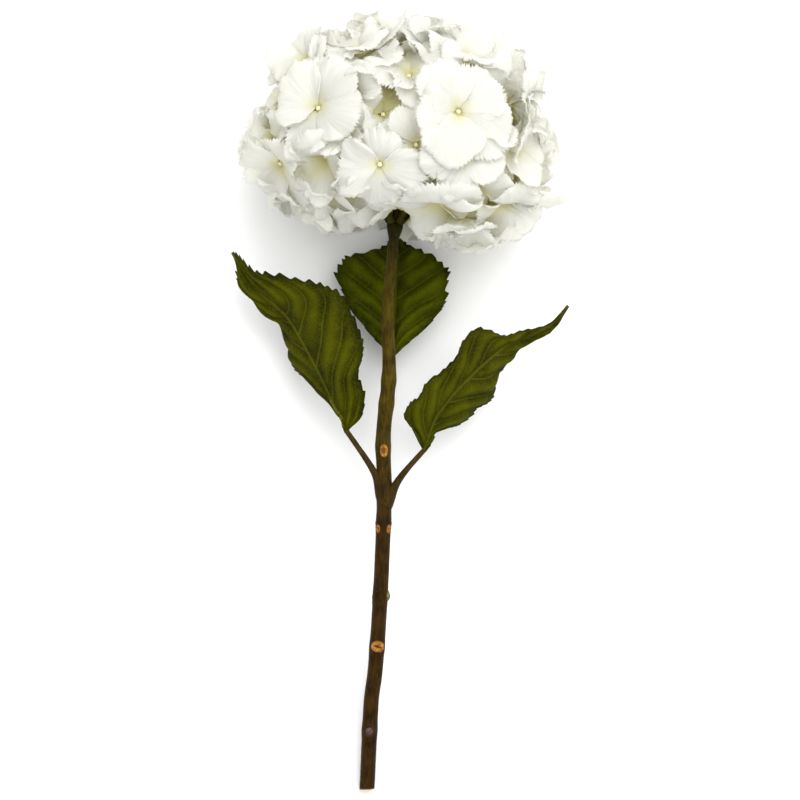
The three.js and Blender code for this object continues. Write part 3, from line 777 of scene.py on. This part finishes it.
def makeFlorets():
    rows, rays = sepalShape["rows"], sepalShape["rays"]
    oneSheet = sheetFaces(rows, rays)
    s, a = np.meshgrid(outwards, sideways, indexing="ij")
    sheetUv = np.stack([a * 0.5 + 0.5, s], -1).reshape(-1, 2)
    for index, name in enumerate(florets):
        group = np.flatnonzero(hosts == index)
        points, quads, tris, slots, triSlots, uvs, outMarks = [], [], [], [], [], [], []
        base = 0
        for k in np.flatnonzero(hosts[owner] == index):
            # the front grid's faces look along -(rows x rays), so the side that looks that way goes first
            first, second = (backSide[k], faceSide[k]) if facing[k] > 0 else (faceSide[k], backSide[k])
            points += [first.reshape(-1, 3), second.reshape(-1, 3)]
            quads.append(oneSheet + base)
            slots.append(np.zeros(len(oneSheet)))
            uvs += [sheetUv + [k * 1.7 % 5, 0], sheetUv + [k * 1.7 % 5, 0]]
            outMarks += [s.ravel(), s.ravel()]
            base += 2 * rows * rays
        for one in group:
            axis = floretAxis[one]
            dome = eyeDome(eyes[one] + axis * 0.8, axis, floretSide[one], floretOther[one])
            # the pedicel bends a little before it meets the eye square on
            foot, head = feet[one], eyes[one] - axis * 0.4
            knee = head - axis * np.linalg.norm(head - foot) * 0.35
            t = np.linspace(0, 1, pedicelShape["rings"])[:, None]
            line = bendAt(foot, knee, head, t)
            radius = np.linspace(*pedicelShape["radius"], pedicelShape["rings"])
            stalk = tubePoints(line, radius, pedicelShape["sides"])
            for number, shape, rings, sides in ((1, dome, eyeShape["rings"], eyeShape["sides"]),
                                                (2, stalk, pedicelShape["rings"], pedicelShape["sides"])):
                shapeQuads, shapeTris = tubeFaces(rings, sides)
                points.append(shape)
                quads.append(shapeQuads + base)
                tris.append(shapeTris + base)
                slots.append(np.full(len(shapeQuads), number))
                triSlots.append(np.full(len(shapeTris), number))
                uvs.append(np.zeros((len(shape), 2)))
                outMarks.append(np.zeros(len(shape)))
                base += len(shape)
        points = np.concatenate(points)
        shares = headShare(points)
        # how far below the head's outline a point lies; the sepal material tints deeper points creamier and
        # yellow-green, partly their own colour and partly painted shade of the hollows
        deep = 1 - np.linalg.norm(shares, axis=1) / lobeSize(shares)
        piece = makePiece("sepals" + name[6:], onTable(points), np.concatenate(quads), np.concatenate(tris),
                          np.concatenate(slots + triSlots), np.concatenate(uvs),
                          {"outward": np.concatenate(outMarks), "deep": deep})
        settle(piece, name, [whiteSepal, eyeMaterial, pedicelMaterial])


makeFlorets()
print("florets made:", floretCount)

# the stem

stemShape = {
    # height above the cut end, then the bow to the right and to the front, mm
    "bow": [(0, -12.6, 0), (51, -10.2, 0.6), (75, -7.4, 1.0), (129, -4.0, 1.0), (177, -2.2, 0.4),
            (211, -2.8, -0.3), (249, 0.6, -0.4), (290, 0.0, -0.3), (340, 4.2, 0.0)],
    "bottomRadius": 4.5,  # mm, up to the height where the taper starts
    "topRadius": 3.0,
    "taperFrom": 211.0,
    "knobRadius": 5.0,
    # height and swelling of each node
    "nodes": [(36, 0.35), (86, 0.3), (117, 0.25), (160, 0.4), (178, 0.7), (206, 0.4), (232, 0.5), (246, 0.5)],
    "nodeSpread": 4.5,  # mm, half the height of a swelling
    "sides": 64,
    "ringStep": 0.55,  # mm between rings
    # old leaf scars: height, direction round the stem (0 right, 90 front), half height, half width, mm
    "scars": [(203.5, 84, 3.6, 2.15), (156.8, 133, 2.4, 1.5), (156.8, 46, 2.4, 1.5), (86.4, 84, 3.2, 3.8)],
    # the same of the scars that are only dark
    "darkScars": [(35.5, 90, 3.2, 2.9), (114, 186, 2.0, 1.6)],
    "ringScars": [(161.4, 3.2)],  # height of a ring round the stem, and how far it dips in front
    "scarRadius": 4.6,  # the stem's radius where the scars are measured
    "darkScarRadius": 4.8,
}


def stemCentre(height):
    # the stem's centre at each height: the smooth bow, read off by height
    dense = curveAt(np.array(stemShape["bow"], float)[:, [1, 0, 2]], np.linspace(0, 1, 600))
    height = np.asarray(height, float)
    side, ahead = np.interp(height, dense[:, 1], dense[:, 0]), np.interp(height, dense[:, 1], dense[:, 2])
    return np.stack([side, height, ahead], -1)


def stemRadiusAt(height):
    # the plain taper, without nodes and knob
    share = smoothstep(stemShape["taperFrom"], plant["knob"][1], height)
    return stemShape["bottomRadius"] + (stemShape["topRadius"] - stemShape["bottomRadius"]) * share


def softNoise(u, v, seed, waves=6):
    # a sum of sine waves in random directions, from -1 to 1; u wraps round once for each 2 pi
    rng = np.random.default_rng(seed)
    total = 0
    for _ in range(waves):
        total = total + np.sin(rng.integers(-4, 5) * u + rng.uniform(-1, 1) * v + rng.uniform(0, 6.28))
    return total / waves


def awayFrom(facing, turn):
    # the angle round the stem from a direction in degrees, between minus and plus half a turn
    return (turn - math.radians(facing) + np.pi) % (2 * np.pi) - np.pi


def makeStem():
    sides = stemShape["sides"]
    top = plant["knob"][1]
    body = np.arange(0.9, top + 3.6, stemShape["ringStep"])
    cut = np.array([0.0, 0.02, 0.04, 0.06, 0.08, 0.3])
    heights = np.concatenate([cut, body])
    line = stemCentre(heights)
    line[heights > top] = stemCentre(top) + np.outer(heights[heights > top] - top, [0.05, 1, 0])
    y = heights[:, None]
    turn = turnsOf(sides)
    radius = stemRadiusAt(y) + 0 * turn
    for height, swell in stemShape["nodes"]:
        radius = radius + swell * np.exp(-((y - height) / stemShape["nodeSpread"]) ** 2)
    radius = radius + (stemShape["knobRadius"] - stemShape["topRadius"]) * smoothstep(top - 11, top - 1, y)
    # slow lumps, fine lengthwise wrinkles
    radius = radius + 0.16 * softNoise(turn, y * 0.16, 3) + 0.07 * softNoise(turn * 3, y * 0.5, 4)
    radius = radius + 0.025 * np.sin(turn * 17 + 2.2 * np.sin(y * 0.07))
    scar, slit, dark, ring = (np.zeros_like(radius) for _ in range(4))
    for height, facing, halfHigh, halfWide in stemShape["scars"]:
        u, v = awayFrom(facing, turn) * stemShape["scarRadius"] / halfWide, (y - height) / halfHigh
        share = np.sqrt(u * u + v * v)
        radius = radius + 0.34 * np.exp(-((share - 1.0) / 0.16) ** 2) - 0.12 * smoothstep(0.9, 0.5, share)
        scar = np.maximum(scar, smoothstep(1.12, 0.95, share))
        if halfWide > halfHigh:
            mark = np.exp(-((v - 0.12 * np.sin(3 * (u + v))) / 0.2) ** 2) * smoothstep(0.75, 0.5, share)
        else:
            mark = 0.7 * smoothstep(0.7, 0.4, share)
        slit = np.maximum(slit, mark)
        radius = radius - 0.25 * mark
    for height, facing, halfHigh, halfWide in stemShape["darkScars"]:
        u, v = awayFrom(facing, turn) * stemShape["darkScarRadius"] / halfWide, (y - height) / halfHigh
        share = np.sqrt(u * u + v * v)
        radius = radius + 0.3 * np.exp(-((share - 1.05) / 0.2) ** 2)
        dark = np.maximum(dark, smoothstep(1.15, 0.9, share))
    for height, dip in stemShape["ringScars"]:
        level = height - dip * np.exp(-(((turn - np.pi / 2) / 0.5) ** 2))
        groove = np.exp(-((y - level) / 0.45) ** 2)
        radius = radius - 0.22 * groove + 0.2 * np.exp(-((y - level + 1.0) / 0.7) ** 2)
        ring = np.maximum(ring, groove)
    # the cut end: flat rings that close in, then a slightly bruised rim
    closing = np.array([0.25, 0.55, 0.82, 0.93, 0.985, 1.0])
    radius[:6] *= closing[:, None]
    crown = smoothstep(top + 3.8, top - 1.5, y) ** 0.5
    radius = radius * np.where(y > top - 1.5, crown, 1)
    points = tubePoints(line, radius, sides)
    # the cut is slightly oblique
    lower = points[:, 1] < 6
    tip = points[lower]
    points[lower, 1] += (tip[:, 0] - plant["cutEnd"][0] + 5) * 0.09 * (1 - tip[:, 1] / 6)
    quads, tris = tubeFaces(len(heights), sides)
    cutMark = np.zeros_like(radius)
    cutMark[:5] = 1
    cutMark[5] = 0.4
    pith = np.zeros_like(radius)
    pith[:1] = 1
    marks = {"height": y / top + 0 * turn, "scar": scar, "slit": slit, "darkScar": dark, "ring": ring,
             "cut": cutMark, "pith": pith}
    marks = {key: np.append(value.ravel(), [value[0, 0], value[-1, 0]]) for key, value in marks.items()}
    uv = np.stack([np.broadcast_to(turn / (2 * np.pi), radius.shape).ravel(),
                   np.broadcast_to(y / 30, radius.shape).ravel()], -1)
    uv = np.concatenate([uv, [[0, 0], [0, 1]]])
    piece = makePiece("stemWood", onTable(points), quads, tris, uv=uv, marks=marks)
    settle(piece, "stem", [barkMaterial()])


def barkGroup():
    # young bark: lengthwise streaks, soft patches and small pale pores
    group = bpy.data.node_groups.new("youngBark", "ShaderNodeTree")
    for name, kind in (("Place", "NodeSocketVector"), ("Dark", "NodeSocketColor"),
                       ("Light", "NodeSocketColor")):
        group.interface.new_socket(name, in_out="INPUT", socket_type=kind)
    group.interface.new_socket("Color", in_out="OUTPUT", socket_type="NodeSocketColor")
    group.interface.new_socket("Height", in_out="OUTPUT", socket_type="NodeSocketFloat")
    tree = Tree(group)
    entry, leave = tree.add("NodeGroupInput"), tree.add("NodeGroupOutput")
    place = entry.outputs["Place"]
    streaks = tree.noise(tree.stretched(place, (1.0, 0.09, 1.0)), 900.0, 4.0, 0.6)
    patches = tree.noise(place, 110.0, 3.0)
    pores = {"Vector": tree.stretched(place, (1.0, 0.45, 1.0)), "Scale": 420.0}
    pores = tree.add("ShaderNodeTexVoronoi", pores).outputs["Distance"]
    pore = tree.range(pores, 0.2, 0.08)
    both = tree.plus(tree.times(streaks, 0.55), tree.times(patches, 0.45))
    colour = tree.mix(tree.range(both, 0.3, 0.7), entry.outputs["Dark"], entry.outputs["Light"])
    colour = tree.mix(tree.times(pore, 0.2), colour, srgb(112, 88, 44))
    group.links.new(colour, leave.inputs["Color"])
    height = tree.plus(tree.times(streaks, 0.8), tree.times(pore, 0.3))
    group.links.new(height, leave.inputs["Height"])
    return group


youngBark = barkGroup()


def barkFinish(tree, coords, dark, light):
    inputs = {"Place": coords.outputs["Object"], "Dark": dark, "Light": light}
    node = tree.add("ShaderNodeGroup", inputs, node_tree=youngBark)
    return node.outputs["Color"], node.outputs["Height"]


def barkMaterial():
    material, tree, output, coords = newMaterial("stemBark")
    height = tree.mark("height")
    upper = tree.range(height, 0.42, 0.72)
    tip = tree.range(height, 0.86, 0.98)
    dark = tree.mix(upper, srgb(25, 14, 0), srgb(38, 29, 0))
    light = tree.mix(upper, srgb(57, 38, 8), srgb(80, 66, 10))
    dark = tree.mix(tip, dark, srgb(18, 16, 0))
    light = tree.mix(tip, light, srgb(42, 37, 0))
    colour, relief = barkFinish(tree, coords, dark, light)
    flecks = tree.noise(coords.outputs["Object"], 700.0, 3.0)
    orange = tree.mix(tree.range(flecks, 0.35, 0.65), srgb(118, 76, 24), srgb(176, 124, 58))
    colour = tree.mix(tree.mark("ring"), colour, srgb(30, 22, 8))
    colour = tree.mix(tree.mark("scar"), colour, orange)
    colour = tree.mix(tree.mark("slit"), colour, srgb(48, 26, 12))
    plum = tree.mix(tree.range(flecks, 0.35, 0.65), srgb(36, 20, 18), srgb(66, 42, 34))
    colour = tree.mix(tree.mark("darkScar"), colour, plum)
    wood = tree.mix(tree.range(flecks, 0.35, 0.65), srgb(170, 150, 104), srgb(206, 190, 146))
    colour = tree.mix(tree.mark("cut"), colour, wood)
    colour = tree.mix(tree.mark("pith"), colour, srgb(120, 92, 52))
    rough = tree.range(relief, 0.3, 0.8, (0.42, 0.6))
    tree.cover(output, tree.body(colour, rough, tree.bump(relief, 0.55, 0.0004), 0.05))
    return material


makeStem()
print("stem made")

# branches of the head

# droop is how far the middle of a long branch hangs, mm
branchShape = {"baseRadius": 2.3, "tipRadius": 1.8, "hubRadius": 4.4, "droop": 13.0, "sides": 14, "rings": 44}


def taperMaterial(name, darkFrom, lightFrom, darkTo, lightTo, switch):
    # bark that turns from one pair of colours to another along the piece
    material, tree, output, coords = newMaterial(name)
    along = tree.range(tree.mark("along"), *switch)
    dark, light = tree.mix(along, darkFrom, darkTo), tree.mix(along, lightFrom, lightTo)
    colour, relief = barkFinish(tree, coords, dark, light)
    tree.cover(output, tree.body(colour, 0.52, tree.bump(relief, 0.45, 0.0003), 0.05))
    return material


def makeBranches():
    skin = taperMaterial("branchBark", srgb(38, 34, 4), srgb(64, 58, 12),
                         srgb(180, 182, 108), srgb(208, 209, 148),
                         (0.15, 0.5))
    knob = np.array(plant["knob"])
    for name in sorted(n for n in nodes if n.startswith("branch_")):
        corners = offTable(nodePoints(name))
        away = np.linalg.norm(corners - knob, axis=1)
        far = corners[away.argmax()]
        hub = corners[np.linalg.norm(corners - far, axis=1) < 9.9].mean(0)
        sideways = (hub - knob) * [1, 0, 1]
        reach = np.linalg.norm(sideways)
        sideways = sideways / max(reach, 1e-6) * (1 if reach > 12 else 0.35)
        start = knob + sideways * branchShape["baseRadius"]
        middle = (start + hub) / 2 - np.array([0, branchShape["droop"], 0]) * min(reach / 30, 1)
        t = np.linspace(0, 1, branchShape["rings"])[:, None]
        line = bendAt(start, middle, hub, t)
        inward = unit(line[-1] - line[-2]) * np.linspace(0.4, 3.6, 6)[:, None]
        line = np.concatenate([line, hub + inward])
        share = np.linspace(0, 1, len(line))
        radius = np.interp(share, [0, 0.8, 1], [branchShape["baseRadius"], branchShape["tipRadius"], 2.0])
        radius = radius + (branchShape["hubRadius"] - 1.9) * np.exp(-((share - 0.93) / 0.055) ** 2)
        radius = radius * smoothstep(1.06, 0.985, share) + 0.12 * np.sin(share * 40)
        points = tubePoints(line, radius, branchShape["sides"])
        quads, tris = tubeFaces(len(line), branchShape["sides"])
        along = np.append(np.repeat(share, branchShape["sides"]), [0, 1])
        piece = makePiece("bough" + name[6:], onTable(points), quads, tris, marks={"along": along})
        settle(piece, name, [skin])


makeBranches()
print("branches made")

# leaves and their stalks

# Each curve runs from the blade's base to its tip: share of the length, of the width and of the sag.
# node is the height at which the stalk leaves the stem, and heading the way the blade points, in degrees
# (0 right, 90 up). Lengths are in mm, and stalkRadius is at the stem and at the blade.
leafShapes = {
    "left": {
        "node": 176, "length": 129, "width": 46, "sag": 34, "heading": 122.9,
        "stalkEnd": (-25.2, 216, 2), "stalkBow": (-9.6, 193, 2.5), "stalkRadius": (3.5, 1.55),
        "midrib": [(0, 0, 0), (0.15, 0.05, -0.02), (0.37, 0.12, -0.12), (0.57, 0.15, -0.27),
                   (0.66, 0.11, -0.35), (0.8, 0, -0.52), (1, 0, -0.9)],
        "left": [(0, -0.03, 0), (0.04, 0, -0.06), (0.14, 0.04, -0.22), (0.22, -0.02, -0.42),
                 (0.32, -0.1, -0.56), (0.39, -0.12, -0.64), (0.46, -0.04, -0.68), (0.58, 0.05, -0.7),
                 (0.68, -0.08, -0.78), (0.78, -0.08, -0.81), (0.86, -0.12, -0.82), (0.93, -0.03, -0.86),
                 (1, -0.01, -0.92)],
        "right": [(0, 0.03, 0), (0.02, 0.26, -0.03), (0.1, 0.44, 0), (0.19, 0.51, 0.14), (0.25, 0.69, 0.2),
                  (0.32, 0.81, 0.18), (0.43, 0.86, 0.12), (0.53, 0.89, 0.04), (0.62, 0.77, -0.06),
                  (0.7, 0.56, -0.18), (0.79, 0.3, -0.33), (0.86, 0.1, -0.5), (0.95, 0.05, -0.76),
                  (1, 0.01, -0.88)],
        "teeth": 27, "toothDepth": 2.8, "veins": 7.5, "lean": 0.36, "crease": 1.5, "warp": 1.7, "seed": 5,
    },
    "right": {
        "node": 171, "length": 124, "width": 46, "sag": 34, "heading": 44.9,
        "stalkEnd": (22.0, 204.5, 3), "stalkBow": (7.8, 188, 2.5), "stalkRadius": (3.5, 1.55),
        "midrib": [(0, 0, 0), (0.06, -0.07, 0), (0.146, -0.18, 0.02), (0.255, -0.23, 0.02),
                   (0.377, -0.25, -0.02), (0.5, -0.24, -0.12), (0.64, -0.2, -0.28), (0.76, -0.06, -0.45),
                   (0.87, 0.03, -0.65), (1, 0.01, -1)],
        "left": [(0, -0.03, 0), (0.03, -0.3, 0.03), (0.045, -0.48, 0.06), (0.11, -0.55, 0.12),
                 (0.165, -0.53, 0.16), (0.24, -0.59, 0.18), (0.33, -0.55, 0.12), (0.425, -0.55, 0.07),
                 (0.5, -0.63, 0.04), (0.59, -0.63, -0.03), (0.64, -0.46, -0.12), (0.67, -0.3, -0.2),
                 (0.74, -0.2, -0.33), (0.81, -0.08, -0.45), (0.88, 0, -0.62), (1, -0.01, -0.98)],
        "right": [(0, 0.03, 0), (0.05, 0, -0.03), (0.11, -0.06, -0.07), (0.17, 0.035, -0.14),
                  (0.21, 0.09, -0.22), (0.28, 0.11, -0.3), (0.32, 0.09, -0.34), (0.38, 0.15, -0.4),
                  (0.43, 0.12, -0.43), (0.5, 0, -0.45), (0.565, -0.03, -0.47), (0.63, -0.09, -0.5),
                  (0.73, -0.02, -0.56), (0.8, 0.05, -0.62), (0.87, 0.08, -0.73), (1, 0.02, -1.02)],
        "teeth": 27, "toothDepth": 1.5, "veins": 7.0, "lean": 0.24, "crease": 0.0, "warp": 1.5, "seed": 8,
    },
    "back": {
        "node": 206, "length": 75, "width": 66, "sag": 36, "heading": 87.5,
        "stalkEnd": (3, 262, -16), "stalkBow": (-0.5, 230, -13), "stalkRadius": (2.4, 1.4),
        "midrib": [(0, 0, 0), (0.3, 0, -0.32), (0.6, 0, -0.62), (0.85, 0, -0.86), (1, 0, -1)],
        "left": [(0, -0.02, 0), (0.1, -0.14, -0.06), (0.24, -0.29, -0.14), (0.37, -0.42, -0.22),
                 (0.49, -0.47, -0.34), (0.63, -0.54, -0.5), (0.74, -0.48, -0.62), (0.79, -0.4, -0.68),
                 (0.83, -0.2, -0.8), (0.91, -0.08, -0.89), (1, -0.01, -0.98)],
        "right": [(0, 0.02, 0), (0.11, 0.14, -0.05), (0.26, 0.31, -0.12), (0.37, 0.4, -0.2),
                  (0.45, 0.44, -0.28), (0.56, 0.45, -0.4), (0.68, 0.46, -0.54), (0.76, 0.385, -0.64),
                  (0.83, 0.26, -0.74), (0.9, 0.085, -0.86), (1, 0.01, -1)],
        "teeth": 16, "toothDepth": 3.7, "veins": 6.0, "lean": 0.28, "crease": 0.0, "warp": 1.3, "seed": 11,
    },
}
leafGrid = {"rows": 221, "cols": 121, "thickness": 0.42, "ribDepth": 1.1, "quilt": 1.9, "arch": 2.4}
stalkGrid = {"rings": 60, "sides": 20, "clasp": 1.7}


def stalkCurve(leaf, t):
    return curveAt([stemCentre(leaf["node"]), leaf["stalkBow"], leaf["stalkEnd"]], t)


def makeStalk(side, leaf, skin):
    t = np.linspace(0, 1, stalkGrid["rings"])
    line = stalkCurve(leaf, t)
    first, last = leaf["stalkRadius"]
    turn = turnsOf(stalkGrid["sides"])
    radius = (last + (first - last) * (1 - t) ** 2)[:, None] + 0 * turn
    # a shallow channel runs along the upper side, and the base clasps the stem
    radius = radius * (1 - 0.16 * np.exp(-(((turn - np.pi / 2) / 0.5) ** 2)))
    radius = radius + 0.06 * softNoise(turn, t[:, None] * 30, leaf["seed"])
    radius = radius + stalkGrid["clasp"] * smoothstep(0.42, 0.0, t)[:, None]
    points = tubePoints(line, radius, stalkGrid["sides"])
    quads, tris = tubeFaces(stalkGrid["rings"], stalkGrid["sides"])
    along = np.append(np.repeat(t, stalkGrid["sides"]), [0, 1])
    piece = makePiece("stalk_" + side, onTable(points), quads, tris, marks={"along": along})
    settle(piece, "petiole_" + side, [skin])


def makeLeaf(side, leaf, skin):
    rows, cols = leafGrid["rows"], leafGrid["cols"]
    heading = math.radians(leaf["heading"])
    along = np.array([math.cos(heading), math.sin(heading), 0])
    across = np.array([math.sin(heading), -math.cos(heading), 0])
    end = stalkCurve(leaf, np.array([0.98, 1.0]))
    base = end[1] - unit(end[1] - end[0]) * 0.8
    scale = np.array([leaf["length"] * along, leaf["width"] * across, [0, 0, leaf["sag"]]])

    def placed(curve):
        return base + np.array(curve, float) @ scale

    t = np.linspace(0, 1, rows)
    s = np.linspace(-1, 1, cols)
    midrib = curveAt(placed(leaf["midrib"]), t)[:, None]
    edges = curveAt(placed(leaf["left"]), t)[:, None], curveAt(placed(leaf["right"]), t)[:, None]
    toSide = s[None, :, None]
    edge = np.where(toSide < 0, edges[0], edges[1])
    place = midrib + (edge - midrib) * np.abs(toSide) + across * toSide * 0.35
    halfWidth = np.linalg.norm(edge - midrib, axis=-1) + 0.35
    normal = unit(np.cross(np.gradient(place, axis=0), np.gradient(place, axis=1)))
    normal = normal * np.sign(normal[..., 2].sum())
    tt, ss = t[:, None], np.abs(s)[None]
    # side veins slant towards the tip: phase = (place along - lean * place across) * count of veins
    phase = (tt - leaf["lean"] * ss**1.2) * leaf["veins"] + 0.5 * (s[None] > 0) + 0.25
    nearest = np.abs(phase - np.round(phase)) / leaf["veins"] * leaf["length"]
    inBlade = smoothstep(0.0, 0.06, tt) * smoothstep(1.0, 0.9, tt)
    veinMask = np.exp(-((nearest / 0.5) ** 2)) * smoothstep(1.02, 0.7, ss) * inBlade
    # finer veins branch from the side veins at an angle
    fine = (tt * 0.8 + 0.42 * ss) * leaf["veins"] * 4.0 + 0.35 * np.sin(phase * 2 * np.pi)
    fineMask = np.exp(-((np.abs(fine - np.round(fine)) / 0.13) ** 2)) * smoothstep(0.08, 0.2, ss) * inBlade
    ribMask = np.exp(-((ss * halfWidth / 0.75) ** 2))
    quilt = (0.5 - 0.5 * np.cos(2 * np.pi * phase)) * smoothstep(0.02, 0.3, ss) * smoothstep(1.0, 0.75, ss)
    small = (0.5 - 0.5 * np.cos(2 * np.pi * fine)) * smoothstep(0.1, 0.3, ss) * smoothstep(1.0, 0.85, ss)
    wide = np.minimum(halfWidth / 14, 1)
    relief = (leafGrid["quilt"] * quilt + 0.1 * small) * wide * inBlade - 0.4 * veinMask - 0.5 * ribMask
    relief = relief - leaf["crease"] * np.exp(-(((tt - 0.09) / 0.022) ** 2))
    # the blade arches between midrib and margin, and its margin waves
    arch = leafGrid["arch"] * wide * np.sin(np.pi * np.minimum(ss, 1)) * smoothstep(0, 0.2, tt)
    noise = softNoise(tt * 9 + leaf["seed"], s[None] * 2.5, leaf["seed"]) * leaf["warp"] * ss**1.5 * wide
    place = place + normal * (relief + arch + noise)[..., None]
    # teeth lean towards the tip: slow rise, quick fall
    toothPlace = tt * leaf["teeth"] + 0.25 * np.sin(tt * 23 + leaf["seed"]) + 0.06 * np.sin(tt * 61)
    toothPlace = toothPlace + 0.37 * (s[None] > 0)
    saw = toothPlace % 1
    each = 0.84 + 0.16 * np.sin(np.floor(toothPlace) * 2.3 + leaf["seed"])
    tooth = np.where(saw < 0.74, saw / 0.74, (1 - saw) / 0.26) ** 1.15 * each * leaf["toothDepth"]
    tooth = tooth * smoothstep(0.0, 0.08, tt) * smoothstep(1.0, 0.94, tt) * np.minimum(halfWidth / 4, 1)
    outwardDir = unit(edge - midrib) * 0.75 + along * 0.6
    place = place + outwardDir * (tooth * smoothstep(0.84, 1.0, ss))[..., None]
    normal = unit(np.cross(np.gradient(place, axis=0), np.gradient(place, axis=1)))
    up = np.sign(normal[..., 2].sum())
    normal = normal * up
    thick = leafGrid["thickness"] * smoothstep(1.05, 0.85, ss) + 0.16
    thick = thick + leafGrid["ribDepth"] * (1 - 0.75 * tt) * ribMask + 0.3 * veinMask
    top, under = place, place - normal * thick[..., None]
    first, second = (under, top) if up > 0 else (top, under)
    points = np.concatenate([first.reshape(-1, 3), second.reshape(-1, 3)])
    uv = np.stack([(s[None] * halfWidth / 10), tt * leaf["length"] / 10 + 0 * s[None]], -1).reshape(-1, 2)
    vein = np.maximum(np.maximum(veinMask, ribMask), 0.2 * fineMask)
    # quilt carries the relief's bulges to the leaf material, which paints them lighter and the troughs darker
    # as painted highlight and shade
    marks = {"vein": vein, "edge": smoothstep(0.9, 1.0, ss) + 0 * tt, "along": tt + 0 * ss,
             "quilt": quilt * inBlade}
    marks = {key: np.tile(value.ravel(), 2) for key, value in marks.items()}
    piece = makePiece("blade_" + side, onTable(points), sheetFaces(rows, cols),
                      uv=np.concatenate([uv, uv]), marks=marks)
    settle(piece, "leaf_" + side, [skin])


def leafMaterial(name, dark, mid, vein):
    material, tree, output, coords = newMaterial(name)
    net = tree.add("ShaderNodeTexVoronoi", {"Vector": coords.outputs["UV"], "Scale": 5.5, "Randomness": 0.9},
                   feature="DISTANCE_TO_EDGE").outputs["Distance"]
    netFine = tree.add("ShaderNodeTexVoronoi", {"Vector": coords.outputs["UV"], "Scale": 15.0},
                       feature="DISTANCE_TO_EDGE").outputs["Distance"]
    patches = tree.noise(coords.outputs["Object"], 55.0, 4.0)
    cells = tree.noise(coords.outputs["Object"], 1500.0, 3.0)
    # painted shade and highlight: the bulges of the quilted relief are lighter and the troughs along the side
    # veins darker, as light falls on them; the patches add a real, random tone
    share = tree.times(tree.mark("quilt"), 0.55)
    share = tree.plus(share, tree.times(tree.range(patches, 0.3, 0.7), 0.5))
    colour = tree.mix(share, dark, mid)
    speck = tree.range(cells, 0.42, 0.66)
    colour = tree.mix(tree.times(speck, 0.12), colour, mid)
    colour = tree.mix(tree.times(tree.range(net, 0.09, 0.0), 0.14), colour, vein)
    colour = tree.mix(tree.times(tree.mark("vein"), 0.4), colour, vein)
    colour = tree.mix(tree.times(tree.mark("edge"), 0.35), colour, dark)
    fine = tree.times(tree.range(netFine, 0.0, 0.15), 0.5)
    height = tree.plus(tree.range(net, 0.0, 0.14), fine)
    height = tree.plus(height, tree.times(cells, 0.35))
    normal = tree.bump(height, 0.6, 0.00035)
    rough = tree.range(cells, 0.3, 0.7, (0.46, 0.62))
    thinTissue(tree, output, colour, rough, normal, tree.mix(0.4, colour, srgb(90, 98, 0)), 0.1, 0.03)
    return material


def makeLeaves():
    stalkSkin = taperMaterial("stalkSkin", srgb(34, 24, 6), srgb(62, 46, 16),
                              srgb(44, 34, 8), srgb(76, 62, 20), (0.5, 1.0))
    sideSkin = leafMaterial("oliveLeaf", srgb(16, 17, 0), srgb(76, 78, 0), srgb(118, 122, 34))
    backSkin = leafMaterial("shadedLeaf", srgb(28, 32, 0), srgb(80, 88, 0), srgb(108, 114, 22))
    for side, leaf in leafShapes.items():
        makeStalk(side, leaf, stalkSkin)
        makeLeaf(side, leaf, backSkin if side == "back" else sideSkin)


makeLeaves()
print("leaves made")

# axillary buds

# height on the stem, direction round it (0 right, 90 front), mm long, wide and proud of the bark
budShapes = {
    "bud_side": {"height": 117, "facing": 8, "long": 7.5, "wide": 4.6, "proud": 1.7, "point": 0.55},
    "bud_front": {"height": 36, "facing": 92, "long": 6.6, "wide": 5.2, "proud": 1.1, "point": 0.2},
}
budGrid = {"rings": 28, "sides": 36}


def makeBuds():
    skins = {
        "bud_side": plainPlant("greenBud", srgb(62, 66, 18), srgb(104, 108, 42), 500.0),
        "bud_front": plainPlant("plumBud", srgb(38, 22, 20), srgb(84, 58, 42), 500.0),
    }
    for name, bud in budShapes.items():
        facing = math.radians(bud["facing"])
        outwardDir = np.array([math.cos(facing), 0, math.sin(facing)])
        sideDir = np.cross([0, 1, 0], outwardDir)
        fromMiddle = stemRadiusAt(bud["height"]) + bud["proud"] - bud["wide"] / 2
        centre = stemCentre(bud["height"]) + outwardDir * fromMiddle
        polar = np.linspace(0.1, np.pi - 0.1, budGrid["rings"])[:, None]
        turn = turnsOf(budGrid["sides"])
        # an egg that narrows to a point, with two overlapping scales that meet in a shallow crease
        narrow = 1 - bud["point"] * smoothstep(0.3, -1.0, np.cos(polar)) * 0.6
        crease = 1 - 0.10 * np.exp(-((np.cos(turn) / 0.14) ** 2)) * np.sin(polar)
        out = bud["wide"] / 2 * np.sin(polar) * narrow * crease
        tall = -bud["long"] / 2 * np.cos(polar) + 0 * turn
        axes = sideDir, outwardDir, np.array([0, 1.0, 0])
        points = roundPoints(centre, axes, out, tall, turn, bud["long"] / 2)
        quads, tris = tubeFaces(budGrid["rings"], budGrid["sides"])
        piece = makePiece("scale" + name[3:], onTable(points), quads, tris)
        settle(piece, name, [skins[name]])


makeBuds()
print("buds made")
